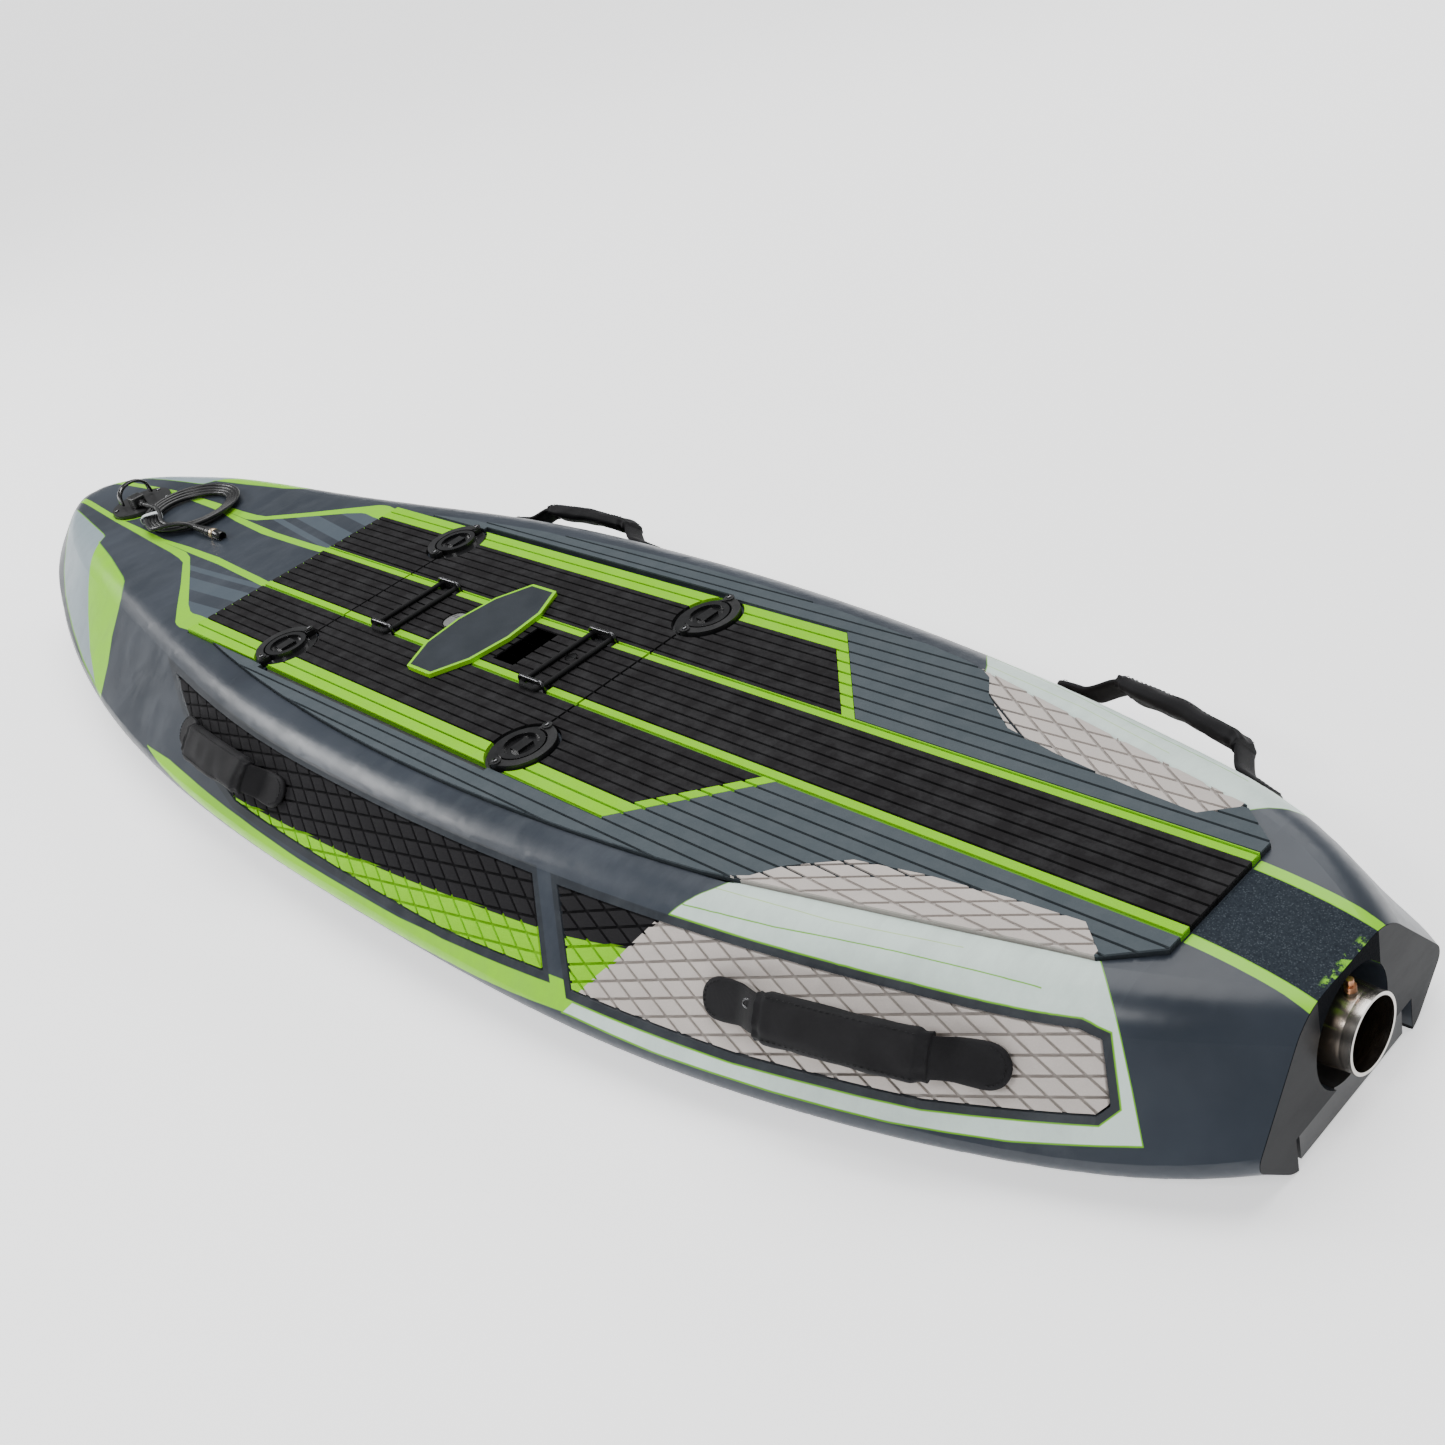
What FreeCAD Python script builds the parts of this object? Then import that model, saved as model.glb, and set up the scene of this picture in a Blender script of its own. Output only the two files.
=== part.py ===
import FreeCAD, Part
import math
import os
import Sketcher

# Jet surfboard: a decked hull with a lift-off hatch lid, grooved deck pads, side pads,
# carry handles, a nose socket with its coiled lead, and a water jet in the tail.
# Millimetres. +X to the nose, +Y to port, +Z up, z = 0 on the floor under the hull.

VECTOR = FreeCAD.Vector
doc = FreeCAD.newDocument("jet_surfboard")

# Driving sizes: name, value
SIZES = [
    # deck and hull
    ("transom_x", -942.0),
    ("deck_seat", 135.0),
    ("pad_thick", 5.5),
    ("pad_gap", 0.6),
    ("seat_margin", 1.2),
    # deck layout, seen from above
    ("pad_front", 366.0),
    ("pad_tail", -855.0),
    ("line_inner", 37.0),
    ("line_outer", 47.0),
    ("band_inner", 124.0),
    ("band_outer", 150.0),
    ("zigzag_corner", -383.0),
    ("zigzag_width", 15.0),
    ("grey_tip", 305.0),
    ("grey_bow_end", -512.0),
    ("grey_bow_half", 156.5),
    ("grey_bow_radius", 2665.0),
    ("grey_heel", -820.0),
    ("grey_heel_half", 88.0),
    ("grey_tail_half", 60.0),
    # hatch and its bay
    ("lid_front", 188.0),
    ("lid_rear", -227.0),
    ("lid_half", 157.0),
    ("lid_corner", 15.0),
    ("seam_gap", 3.0),
    ("lid_thick", 9.0),
    ("ledge_width", 18.0),
    ("lid_seat_gap", 0.3),
    ("bay_floor", 22.0),
    # heavy masses in the bay
    ("battery_length", 225.0),
    ("battery_width", 220.0),
    ("battery_height", 76.0),
    ("battery_x", 50.0),
    ("motor_radius", 42.0),
    ("motor_length", 118.0),
    ("motor_x", -200.0),
    # water jet
    ("jet_z", 66.0),
    ("bore_radius", 38.5),
    ("bore_front", -700.0),
    ("cavity_radius", 44.0),
    ("cavity_front", -900.0),
    ("housing_clear", 0.3),
    ("housing_wall", 4.5),
    ("housing_rear", -868.0),
    ("stator_front", -806.0),
    ("stator_hub", 14.0),
    ("vane_thick", 3.0),
    ("impeller_front", -728.0),
    ("impeller_rear", -796.0),
    ("impeller_gap", 1.2),
    ("blade_thick", 3.0),
    ("shaft_radius", 6.0),
    ("shaft_clear", 0.3),
    ("shaft_front", -575.0),
    ("shaft_rear", -826.0),
    ("nozzle_rim_x", -956.0),
    ("nozzle_rim_radius", 28.5),
    ("nozzle_wall", 2.5),
    ("nozzle_band", 8.0),
    ("nozzle_bolt_set", 14.0),
    ("duct_front", -545.0),
    ("duct_mouth_rear", -668.0),
    ("duct_half", 40.0),
    ("ride_half", 65.0),
    ("ride_slot", 8.0),
    ("ride_top", 26.0),
    ("ride_base", 2.0),
    ("grate_margin", 9.0),
    ("grate_thick", 7.0),
    ("grate_seat_gap", 0.3),
    ("grate_slot", 9.0),
    ("grate_pitch", 13.5),
    # side pads
    ("side_pad_depth", 8.0),
    ("side_pad_gap", 1.5),
    # latches
    ("latch_front_x", 194.0),
    ("latch_rear_x", -232.0),
    ("latch_y", 116.0),
    ("latch_radius", 33.0),
    ("latch_cutout", 36.0),
    ("latch_disc", 22.5),
    ("latch_gap", 2.0),
    ("latch_height", 9.0),
    ("latch_step", 4.0),
    ("latch_boss", 5.0),
    ("latch_boss_y", 30.0),
    ("dish_radius", 17.0),
    ("dish_depth", 3.5),
    # fittings on the lid
    ("emblem_x", -17.0),
    ("emblem_end", 20.0),
    ("emblem_shoulder", 40.0),
    ("emblem_waist", 46.0),
    ("emblem_half", 83.0),
    ("emblem_shoulder_y", 46.0),
    ("emblem_thick", 5.0),
    ("cap_x", 40.0),
    ("cap_y", -3.0),
    ("cap_radius", 13.0),
    ("cap_height", 4.5),
    ("button_x", -152.0),
    ("button_y", -7.0),
    ("button_radius", 5.5),
    ("button_height", 5.2),
    ("hole_gap", 1.0),
    ("grip_rear", -104.0),
    ("grip_front", -70.0),
    ("grip_half", 29.0),
    ("grip_depth", 5.0),
    ("grip_floor", 2.0),
    ("rib_height", 3.0),
    ("rib_width", 5.0),
    ("rib_pitch", 16.0),
    ("ring_front_x", 107.0),
    ("ring_rear_x", -157.0),
    ("ring_half", 18.5),
    ("ring_y", 45.0),
    ("ring_rod", 1.9),
    ("ring_height", 8.5),
    ("ring_foot", 1.5),
    ("bungee_half", 14.5),
    ("bungee_end_y", 50.0),
    ("bungee_radius", 2.5),
    # nose fittings
    ("nose_x", 778.0),
    ("nose_seat", 150.0),
    ("nose_base_radius", 40.0),
    ("nose_base_height", 6.0),
    ("bail_half", 25.0),
    ("bail_height", 30.0),
    ("bail_thick", 4.5),
    ("bail_width", 13.0),
    ("socket_length", 20.0),
    ("socket_half", 9.0),
    ("socket_height", 15.0),
    ("socket_x", 778.0),
    ("socket_y", 8.0),
    # carry handles
    ("handle_length", 245.0),
    ("handle_width", 34.0),
    ("handle_tab", 46.0),
    ("handle_tab_thick", 5.0),
    ("sleeve_half", 62.0),
    ("sleeve_thick", 15.5),
    ("handle_bow", 5.5),
    # fin boxes
    ("fin_rear", -735.0),
    ("fin_front", -630.0),
    ("fin_y", 112.0),
    ("fin_box_half", 9.0),
    ("fin_depth", 20.0),
    ("fin_slot_half", 4.0),
    ("fin_slot_depth", 2.0),
    ("fin_wall", 7.0),
]

sheet = doc.addObject("Spreadsheet::Sheet", "Sizes")
for row, (alias, value) in enumerate(SIZES, start=1):
    sheet.set("A%d" % row, alias)
    sheet.set("B%d" % row, str(value))
    sheet.setAlias("B%d" % row, alias)
doc.recompute()


class Size:
    """A length that knows its number and the sheet expression it comes from."""

    def __init__(self, value, text):
        self.value = float(value)
        self.text = text

    def __add__(self, other):
        other = as_size(other)
        return Size(self.value + other.value, "(%s + %s)" % (self.text, other.text))

    def __sub__(self, other):
        other = as_size(other)
        return Size(self.value - other.value, "(%s - %s)" % (self.text, other.text))

    def __mul__(self, other):
        other = as_size(other)
        return Size(self.value * other.value, "(%s * %s)" % (self.text, other.text))

    def __truediv__(self, other):
        other = as_size(other)
        return Size(self.value / other.value, "(%s / %s)" % (self.text, other.text))

    def __radd__(self, other):
        return as_size(other) + self

    def __rsub__(self, other):
        return as_size(other) - self

    def __rmul__(self, other):
        return as_size(other) * self

    def __neg__(self):
        return Size(-self.value, "(-1 * %s)" % self.text)


def as_size(number):
    return number if isinstance(number, Size) else Size(number, "%.6g" % number)


class Sheet:
    """Sizes by name: S.pad_thick is the cell of that alias."""

    def __getattr__(self, alias):
        return Size(sheet.get(alias), "Sizes." + alias)


S = Sheet()


def bind(thing, prop, size):
    """Set a property, and tie it to the sheet where it comes from there."""
    size = as_size(size)
    thing.setExpression(prop, size.text)


# Hull sections from nose to transom.
# x, deck half-width, deck z, rail half-width, rail z, keel half-width, keel z
STATIONS = [
    (956.0, 16.0, 140.0, 25.0, 130.0, 14.0, 119.0),
    (936.0, 28.0, 147.0, 58.0, 118.0, 30.0, 97.0),
    (890.0, 54.0, 150.5, 104.0, 101.5, 62.0, 74.0),
    (815.0, 82.0, 151.0, 145.5, 86.5, 92.0, 48.0),
    (660.0, 122.0, 147.0, 204.5, 61.5, 138.0, 20.0),
    (455.0, 155.0, 138.5, 252.5, 49.0, 188.0, 4.0),
    (180.0, 197.0, 136.0, 284.0, 47.0, 224.0, -1.0),
    (-45.0, 208.0, 136.0, 291.0, 44.5, 230.0, -1.0),
    (-250.0, 203.0, 136.0, 288.0, 41.5, 226.0, -1.0),
    (-435.0, 188.0, 136.0, 276.0, 35.0, 212.0, -1.0),
    (-590.0, 168.0, 136.0, 250.0, 29.0, 190.0, -1.0),
    (-725.0, 143.0, 136.0, 215.0, 28.0, 159.0, -1.0),
    (-830.0, 116.0, 136.0, 177.0, 28.0, 126.0, -1.0),
    (-888.0, 88.0, 131.0, 151.5, 32.0, 101.0, -1.0),
    (-942.0, 50.0, 118.0, 117.0, 40.0, 76.0, -1.0),
]
SHOULDER_RADIUS = 45.0
RAIL_RADIUS = 11.0
KEEL_RADIUS = 30.0
CORNER_SHARE = 0.42


def rounded_loop(points, radii):
    """Closed wire through the points, each corner rounded by a tangent arc."""
    count = len(points)
    starts = []
    ends = []
    middles = []
    for i, (point, radius) in enumerate(zip(points, radii)):
        back = points[i - 1] - point
        ahead = points[(i + 1) % count] - point
        half = (math.pi - back.getAngle(ahead)) / 2
        cut = min(radius * math.tan(half), CORNER_SHARE * min(back.Length, ahead.Length))
        radius = cut / math.tan(half)
        back.normalize()
        ahead.normalize()
        inward = (back + ahead).normalize()
        starts.append(point + back * cut)
        ends.append(point + ahead * cut)
        middles.append(point + inward * (math.hypot(cut, radius) - radius))
    edges = []
    for i in range(count):
        edges.append(Part.Arc(starts[i], middles[i], ends[i]).toShape())
        edges.append(Part.LineSegment(ends[i], starts[(i + 1) % count]).toShape())
    return Part.Wire(edges)


def hull_form(inset, stations):
    """Loft through the stations, the sides drawn in by the inset."""
    wires = []
    for x, deck_half, deck_z, rail_half, rail_z, keel_half, keel_z in stations:
        port = [(deck_half - inset, deck_z), (rail_half - inset, rail_z), (keel_half, keel_z)]
        loop = port + [(-y, z) for y, z in reversed(port)]
        radii = [SHOULDER_RADIUS, RAIL_RADIUS, KEEL_RADIUS]
        wires.append(rounded_loop([VECTOR(x, y, z) for y, z in loop], radii + radii[::-1]))
    return Part.makeLoft(wires, True, False)

def named(kind, name):
    """A new document object with a plain label."""
    thing = doc.addObject(kind, name)
    thing.Label = name
    return thing


def as_feature(name, shape, placement=None):
    """A sub-part whose shape is set directly, then placed."""
    thing = named("Part::Feature", name)
    thing.Shape = shape
    if placement:
        thing.Placement = placement
    return thing


def block(name, x, y, z):
    """A box between sized limits, each limit a (low, high) pair."""
    box = named("Part::Box", name)
    for side, place, (low, high) in (("Length", "x", x), ("Width", "y", y), ("Height", "z", z)):
        bind(box, side, as_size(high) - as_size(low))
        bind(box, "Placement.Base." + place, low)
    return box


def cylinder_x(name, radius, rear, front, z, y=0.0):
    """A cylinder along X between two stations."""
    rod = named("Part::Cylinder", name)
    rod.Placement = FreeCAD.Placement(VECTOR(), FreeCAD.Rotation(VECTOR(0, 1, 0), 90))
    bind(rod, "Radius", radius)
    bind(rod, "Height", as_size(front) - as_size(rear))
    bind(rod, "Placement.Base.x", rear)
    bind(rod, "Placement.Base.y", y)
    bind(rod, "Placement.Base.z", z)
    return rod


def cylinder_z(name, radius, x, y, low, high):
    """An upright cylinder between two heights."""
    rod = named("Part::Cylinder", name)
    bind(rod, "Radius", radius)
    bind(rod, "Height", as_size(high) - as_size(low))
    bind(rod, "Placement.Base.x", x)
    bind(rod, "Placement.Base.y", y)
    bind(rod, "Placement.Base.z", low)
    return rod


def cut(name, base, tool):
    piece = named("Part::Cut", name)
    piece.Base = base
    piece.Tool = tool
    return piece


def fuse(name, shapes):
    piece = named("Part::MultiFuse", name)
    piece.Shapes = shapes
    return piece


def common(name, base, tool):
    piece = named("Part::Common", name)
    piece.Base = base
    piece.Tool = tool
    return piece


def origin_plane(body, role):
    return [item for item in body.Origin.OriginFeatures if item.Role == role][0]


def outward_point(start, end, radius):
    """Middle of the shallow arc from start to end, bulging to the right of the way."""
    chord = end - start
    rise = radius - math.sqrt(radius * radius - chord.Length * chord.Length / 4)
    return (start + end) * 0.5 + VECTOR(chord.y, -chord.x, 0).normalize() * rise


def tie(drawing, kind, place, size):
    """Add one constraint of a size and bind it to the sheet."""
    index = drawing.addConstraint(Sketcher.Constraint(kind, *place, size.value))
    drawing.setExpression("Constraints[%d]" % index, size.text)


def sketch(body, name, role, loops, offset=(0.0, 0.0, 0.0)):
    """Counter-clockwise loops of sized corners on an origin plane, tied to the sheet.

    A corner is (across, up); a third entry is the radius of the arc to the next corner.
    """
    drawing = body.newObject("Sketcher::SketchObject", name)
    drawing.AttachmentSupport = (origin_plane(body, role), [""])
    drawing.MapMode = "FlatFace"
    for place, size in zip("xyz", offset):
        bind(drawing, "AttachmentOffset.Base." + place, size)
    for loop in loops:
        first = drawing.GeometryCount
        count = len(loop)
        corners = [VECTOR(as_size(c[0]).value, as_size(c[1]).value, 0) for c in loop]
        for i, corner in enumerate(loop):
            start = corners[i]
            end = corners[(i + 1) % count]
            if len(corner) == 3:
                middle = outward_point(start, end, corner[2].value)
                drawing.addGeometry(Part.Arc(start, middle, end), False)
            else:
                drawing.addGeometry(Part.LineSegment(start, end), False)
        for i, corner in enumerate(loop):
            edge = first + i
            following = first + (i + 1) % count
            drawing.addConstraint(Sketcher.Constraint("Coincident", edge, 2, following, 1))
            tie(drawing, "DistanceX", (-1, 1, edge, 1), as_size(corner[0]))
            tie(drawing, "DistanceY", (-1, 1, edge, 1), as_size(corner[1]))
            if len(corner) == 3:
                tie(drawing, "Radius", (edge,), corner[2])
    drawing.Visibility = False
    return drawing


def add_circles(drawing, circles):
    """Sized circles: (across, up, radius)."""
    for circle in circles:
        across, up, radius = [as_size(size) for size in circle]
        centre = VECTOR(across.value, up.value, 0)
        index = drawing.addGeometry(Part.Circle(centre, VECTOR(0, 0, 1), radius.value), False)
        tie(drawing, "DistanceX", (-1, 1, index, 3), across)
        tie(drawing, "DistanceY", (-1, 1, index, 3), up)
        tie(drawing, "Radius", (index,), radius)


def new_body(name):
    body = named("PartDesign::Body", name)
    body.AllowCompound = True
    return body


def pad(body, name, loops, low, high, circles=()):
    """Upright prism of the loops between two heights."""
    drawing = sketch(body, name + "_outline", "XY_Plane", loops, (0, 0, low))
    add_circles(drawing, circles)
    feature = body.newObject("PartDesign::Pad", name)
    feature.Profile = drawing
    bind(feature, "Length", as_size(high) - as_size(low))
    body.Tip = feature
    return feature


def pocket(body, name, loops, top, depth, circles=()):
    """Upright cut of the loops, down from the given height."""
    drawing = sketch(body, name + "_outline", "XY_Plane", loops, (0, 0, top))
    add_circles(drawing, circles)
    feature = body.newObject("PartDesign::Pocket", name)
    feature.Profile = drawing
    bind(feature, "Length", depth)
    body.Tip = feature
    return feature


def side_pad_extrusion(body, name, loop, half, centre_z=0.0):
    """Prism across the board of a side profile (x, z), out to the half-width each side."""
    drawing = sketch(body, name + "_profile", "XZ_Plane", [loop], (0, centre_z, 0))
    feature = body.newObject("PartDesign::Pad", name)
    feature.Profile = drawing
    feature.Midplane = True
    bind(feature, "Length", as_size(half) * 2)
    body.Tip = feature
    return feature


def turned(body, name, loop):
    """Turned ring about the jet's axis; the loop is (x, radius)."""
    drawing = sketch(body, name + "_profile", "XZ_Plane", [loop], (0, S.jet_z, 0))
    feature = body.newObject("PartDesign::Revolution", name)
    feature.Profile = drawing
    feature.ReferenceAxis = (drawing, ["H_Axis"])
    feature.Angle = 360
    body.Tip = feature
    return feature


def around_axis(body, name, feature, drawing, count):
    """Copies of a feature spaced round the normal of its sketch."""
    pattern = body.newObject("PartDesign::PolarPattern", name)
    pattern.Originals = [feature]
    pattern.Axis = (drawing, ["N_Axis"])
    pattern.Angle = 360
    pattern.Occurrences = count
    body.Tip = pattern
    return pattern


def rectangle(x, y):
    """Corners of a box seen from above, each limit a (low, high) pair."""
    return [(x[0], y[0]), (x[1], y[0]), (x[1], y[1]), (x[0], y[1])]


def mirrored(loop):
    """The same loop on the starboard side, still counter-clockwise."""
    turned_loop = []
    for i in range(len(loop) - 1, -1, -1):
        edge_radius = tuple(loop[i - 1][2:])
        turned_loop.append((loop[i][0], -as_size(loop[i][1])) + edge_radius)
    return turned_loop


def both_sides(loops):
    return loops + [mirrored(loop) for loop in loops]


def mirror_body(name, source):
    """The starboard twin of a port piece."""
    twin = named("Part::Mirroring", name)
    twin.Source = source
    twin.Normal = VECTOR(0, 1, 0)
    return twin


def tube(points, radius, bends=None, closed=False):
    """Round bar along straight runs joined by tangent arcs."""
    if closed:
        path = rounded_loop(points, bends)
    else:
        path = rounded_path(points, bends)
    start = path.Edges[0]
    way = start.tangentAt(start.FirstParameter)
    ring = Part.Wire(Part.Circle(start.valueAt(start.FirstParameter), way, radius).toShape())
    return path.makePipeShell([ring], True, False)


def bend_radius(before, point, after, share=0.45):
    """Largest arc that its two runs allow."""
    turn = math.pi - (before - point).getAngle(after - point)
    shorter = min((before - point).Length, (after - point).Length)
    return share * shorter / math.tan(turn / 2)


def rounded_path(points, bends=None):
    """Open wire of straight runs, each inner corner rounded by a tangent arc."""
    edges = []
    last = points[0]
    for i in range(1, len(points) - 1):
        before, point, after = points[i - 1], points[i], points[i + 1]
        radius = bends[i - 1] if bends else bend_radius(before, point, after)
        back = before - point
        ahead = after - point
        turn = math.pi - back.getAngle(ahead)
        cut_back = radius * math.tan(turn / 2)
        back.normalize()
        ahead.normalize()
        inward = (back + ahead).normalize()
        start = point + back * cut_back
        end = point + ahead * cut_back
        middle = point + inward * (math.hypot(cut_back, radius) - radius)
        edges.append(Part.LineSegment(last, start).toShape())
        edges.append(Part.Arc(start, middle, end).toShape())
        last = end
    edges.append(Part.LineSegment(last, points[-1]).toShape())
    return Part.Wire(edges)


# Deck layout: loops of the pads and of the coloured lines between them
gap = S.pad_gap / 2
pad_top = S.deck_seat + S.pad_thick
lid_nose_edge = S.lid_front - S.seam_gap
lid_tail_edge = S.lid_rear + S.seam_gap
lid_edge = S.lid_half - S.seam_gap
line_in = S.line_inner
line_out = S.line_outer
join_inner = S.zigzag_corner + S.zigzag_width - (S.band_outer - line_out)
join_outer = S.zigzag_corner - (S.band_outer - line_out)
corner_inner = S.zigzag_corner + S.zigzag_width - (S.band_outer - S.band_inner)


def strips(rear, front):
    """Black centre strip and the panel each side of it."""
    centre = rectangle((rear, front), (-(line_in - gap), line_in - gap))
    panel = rectangle((rear, front), (line_out + gap, S.band_inner - gap))
    return [centre] + both_sides([panel])


def seat_loop():
    """Half outline of all the deck pads, grown by the seat's margin."""
    m = S.seat_margin
    port = [
        (S.pad_front + m, S.band_outer + m),
        (S.grey_tip + m, S.band_outer + m, S.grey_bow_radius),
        (S.grey_bow_end, S.grey_bow_half + m),
        (S.grey_heel, S.grey_heel_half + m),
        (S.pad_tail, S.grey_tail_half + m),
        (S.pad_tail - m, line_out),
    ]
    starboard = []
    for i in range(len(port) - 1, -1, -1):
        radius = tuple(port[i - 1][2:]) if i else ()
        starboard.append((port[i][0], -port[i][1]) + radius)
    return port + starboard


seat = new_body("deck_seat_tool")
pad(seat, "deck_seat_prism", [seat_loop()], S.deck_seat, S.deck_seat + 30)

# Hull
outer_form = as_feature("hull_outer_form", hull_form(0.0, STATIONS))
core_form = as_feature("hull_core_form", hull_form(S.side_pad_depth.value, STATIONS[4:]))

hatch = new_body("hatch_tool")
ledge_z = S.deck_seat - S.lid_thick - S.lid_seat_gap
hatch_loop = rectangle((S.lid_rear, S.lid_front), (-S.lid_half, S.lid_half))
bay_x = (S.lid_rear + S.ledge_width, S.lid_front - S.ledge_width)
bay_y = (-(S.lid_half - S.ledge_width), S.lid_half - S.ledge_width)
pad(hatch, "hatch_prism", [hatch_loop], ledge_z, S.deck_seat + 30)


def upright_edges(feature):
    """Names of the straight upright edges of a shape."""
    names = []
    for i, edge in enumerate(feature.Shape.Edges, start=1):
        ends = [vertex.Point for vertex in edge.Vertexes]
        if len(ends) == 2 and abs((ends[1] - ends[0]).normalize().z) > 0.999:
            names.append("Edge%d" % i)
    return names


def round_corners(body, name, radius, edges=upright_edges):
    """Round the chosen edges of the body's last feature."""
    doc.recompute()
    base = body.Tip
    feature = body.newObject("PartDesign::Fillet", name)
    feature.Base = (base, edges(base))
    bind(feature, "Radius", radius)
    body.Tip = feature
    return feature


round_corners(hatch, "hatch_corners", S.lid_corner)
bay = new_body("bay_tool")
pad(bay, "bay_prism", [rectangle(bay_x, bay_y)], S.bay_floor, S.deck_seat + 30)
round_corners(bay, "bay_corners", S.lid_corner)

duct = new_body("duct_tool")
duct_roof = S.jet_z + S.bore_radius - 4
duct_loop = [
    (S.duct_front, -1.0),
    (S.bore_front + 10, duct_roof),
    (S.bore_front - 2, duct_roof),
    (S.bore_front - 2, S.jet_z - S.bore_radius + 4),
    (S.duct_mouth_rear, -1.0),
]
side_pad_extrusion(duct, "duct_prism", duct_loop[::-1], S.duct_half)

beyond = S.transom_x - 20
ride_front = S.bore_front - 16
grate_x = (S.duct_mouth_rear - S.grate_margin, S.duct_front + S.grate_margin)
grate_half = S.duct_half + S.grate_margin
tools = [
    seat,
    hatch,
    bay,
    duct,
    block("floor_tool", (-1000.0, 1000.0), (-400.0, 400.0), (-60.0, 0.0)),
    cylinder_x("bore_tool", S.bore_radius, beyond, S.bore_front, S.jet_z),
    cylinder_x("cavity_tool", S.cavity_radius, beyond, S.cavity_front, S.jet_z),
    cylinder_x("shaft_tool", S.shaft_radius + S.shaft_clear, S.bore_front,
               S.shaft_front + S.shaft_clear, S.jet_z),
    block("ride_tool", (beyond, ride_front), (-(S.ride_half + S.ride_slot),
          S.ride_half + S.ride_slot), (-10.0, S.ride_top + 3)),
    block("grate_tool", grate_x, (-grate_half, grate_half), (-10.0, S.grate_thick + 0.6)),
    cylinder_z("nose_seat_tool", S.nose_base_radius + S.hole_gap, S.nose_x, 0.0,
               S.nose_seat, S.nose_seat + 30),
]
for side, sign in (("port", 1), ("stbd", -1)):
    tools.append(block("fin_tool_" + side, (S.fin_rear, S.fin_front),
                       (sign * S.fin_y - S.fin_box_half, sign * S.fin_y + S.fin_box_half),
                       (-10.0, S.fin_depth)))

# Side pads: outline (x, z) of each recess on the slanted side
FRONT_PAD = [(330.0, 119.0), (-357.0, 117.0), (-399.0, 64.0), (-275.0, 62.0),
             (100.0, 69.0), (208.0, 86.0)]
REAR_PAD = [(-387.0, 116.0), (-830.0, 115.0), (-845.0, 110.0), (-857.0, 72.0),
            (-850.0, 65.0), (-740.0, 56.0), (-593.0, 54.0), (-432.0, 59.0)]


def side_outline(corners, shrink):
    """Outline of a side recess moved in by the shrink, as a prism out to port."""
    loop = Part.makePolygon([VECTOR(x, 0, z) for x, z in corners + corners[:1]])
    if shrink:
        loop = loop.makeOffset2D(-shrink, 2)
    wire = loop if isinstance(loop, Part.Wire) else loop.Wires[0]
    return Part.Face(wire).extrude(VECTOR(0, 330, 0))


for place, corners in (("front", FRONT_PAD), ("rear", REAR_PAD)):
    recess = as_feature("side_recess_prism_" + place, side_outline(corners, 0.0))
    recess_tool = cut("side_recess_tool_" + place, recess, core_form)
    tools.append(recess_tool)
    tools.append(mirror_body("side_recess_twin_" + place, recess_tool))
    filling = as_feature("side_pad_prism_" + place,
                         side_outline(corners, S.side_pad_gap.value))
    skin = common("side_pad_skin_" + place, outer_form, filling)
    port_pad = cut("rail_pad_%s_port" % place, skin, core_form)
    mirror_body("rail_pad_%s_stbd" % place, port_pad)

hull = cut("hull", outer_form, fuse("hull_tools", tools))
# Deck pads and coloured lines on the hull
front_x = (S.lid_front, S.pad_front)
aft_x = (S.pad_tail, S.lid_rear)
latch_holes = [(x, y, S.latch_cutout)
               for x in (S.latch_front_x, S.latch_rear_x)
               for y in (S.latch_y, -S.latch_y)]


def flat_pad(name, loops, holes=()):
    """Foam sheet of pad thickness on the deck, cleared round the latches."""
    body = new_body(name)
    pad(body, name + "_sheet", loops, S.deck_seat, pad_top)
    if holes:
        pocket(body, name + "_latch_holes", [], pad_top, S.pad_thick, holes)
    return body


flat_pad("front_pad", strips(*front_x), latch_holes)
line_front = rectangle(front_x, (line_in, line_out))
band_front = rectangle(front_x, (S.band_inner, S.band_outer))
flat_pad("lime_front", both_sides([line_front, band_front]), latch_holes)

panel_aft = [
    (S.lid_rear, line_out + gap),
    (S.lid_rear, S.band_inner - gap),
    (corner_inner + gap, S.band_inner - gap),
    (join_inner + gap, line_out + gap),
]
centre_aft = rectangle(aft_x, (-(line_in - gap), line_in - gap))
flat_pad("aft_pad", [centre_aft] + both_sides([panel_aft]), latch_holes)
lime_aft_loop = [
    (S.pad_tail, line_in),
    (S.lid_rear, line_in),
    (S.lid_rear, line_out),
    (join_inner, line_out),
    (corner_inner, S.band_inner),
    (S.lid_rear, S.band_inner),
    (S.lid_rear, S.band_outer),
    (S.zigzag_corner, S.band_outer),
    (join_outer, line_out),
    (S.pad_tail, line_out),
]
flat_pad("lime_aft", both_sides([lime_aft_loop]), latch_holes)
grey_loop = [
    (S.lid_front, S.band_outer + gap),
    (S.grey_tip, S.band_outer + gap, S.grey_bow_radius),
    (S.grey_bow_end, S.grey_bow_half),
    (S.grey_heel, S.grey_heel_half),
    (S.pad_tail, S.grey_tail_half),
    (S.pad_tail, line_out + gap),
    (join_outer - gap, line_out + gap),
    (S.zigzag_corner - gap, S.band_outer + gap),
    (S.lid_rear, S.band_outer + gap),
    (S.lid_rear, S.lid_half),
    (S.lid_front, S.lid_half),
]
flat_pad("grey_pad_port", [grey_loop], latch_holes)
flat_pad("grey_pad_stbd", [mirrored(grey_loop)], latch_holes)

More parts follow.
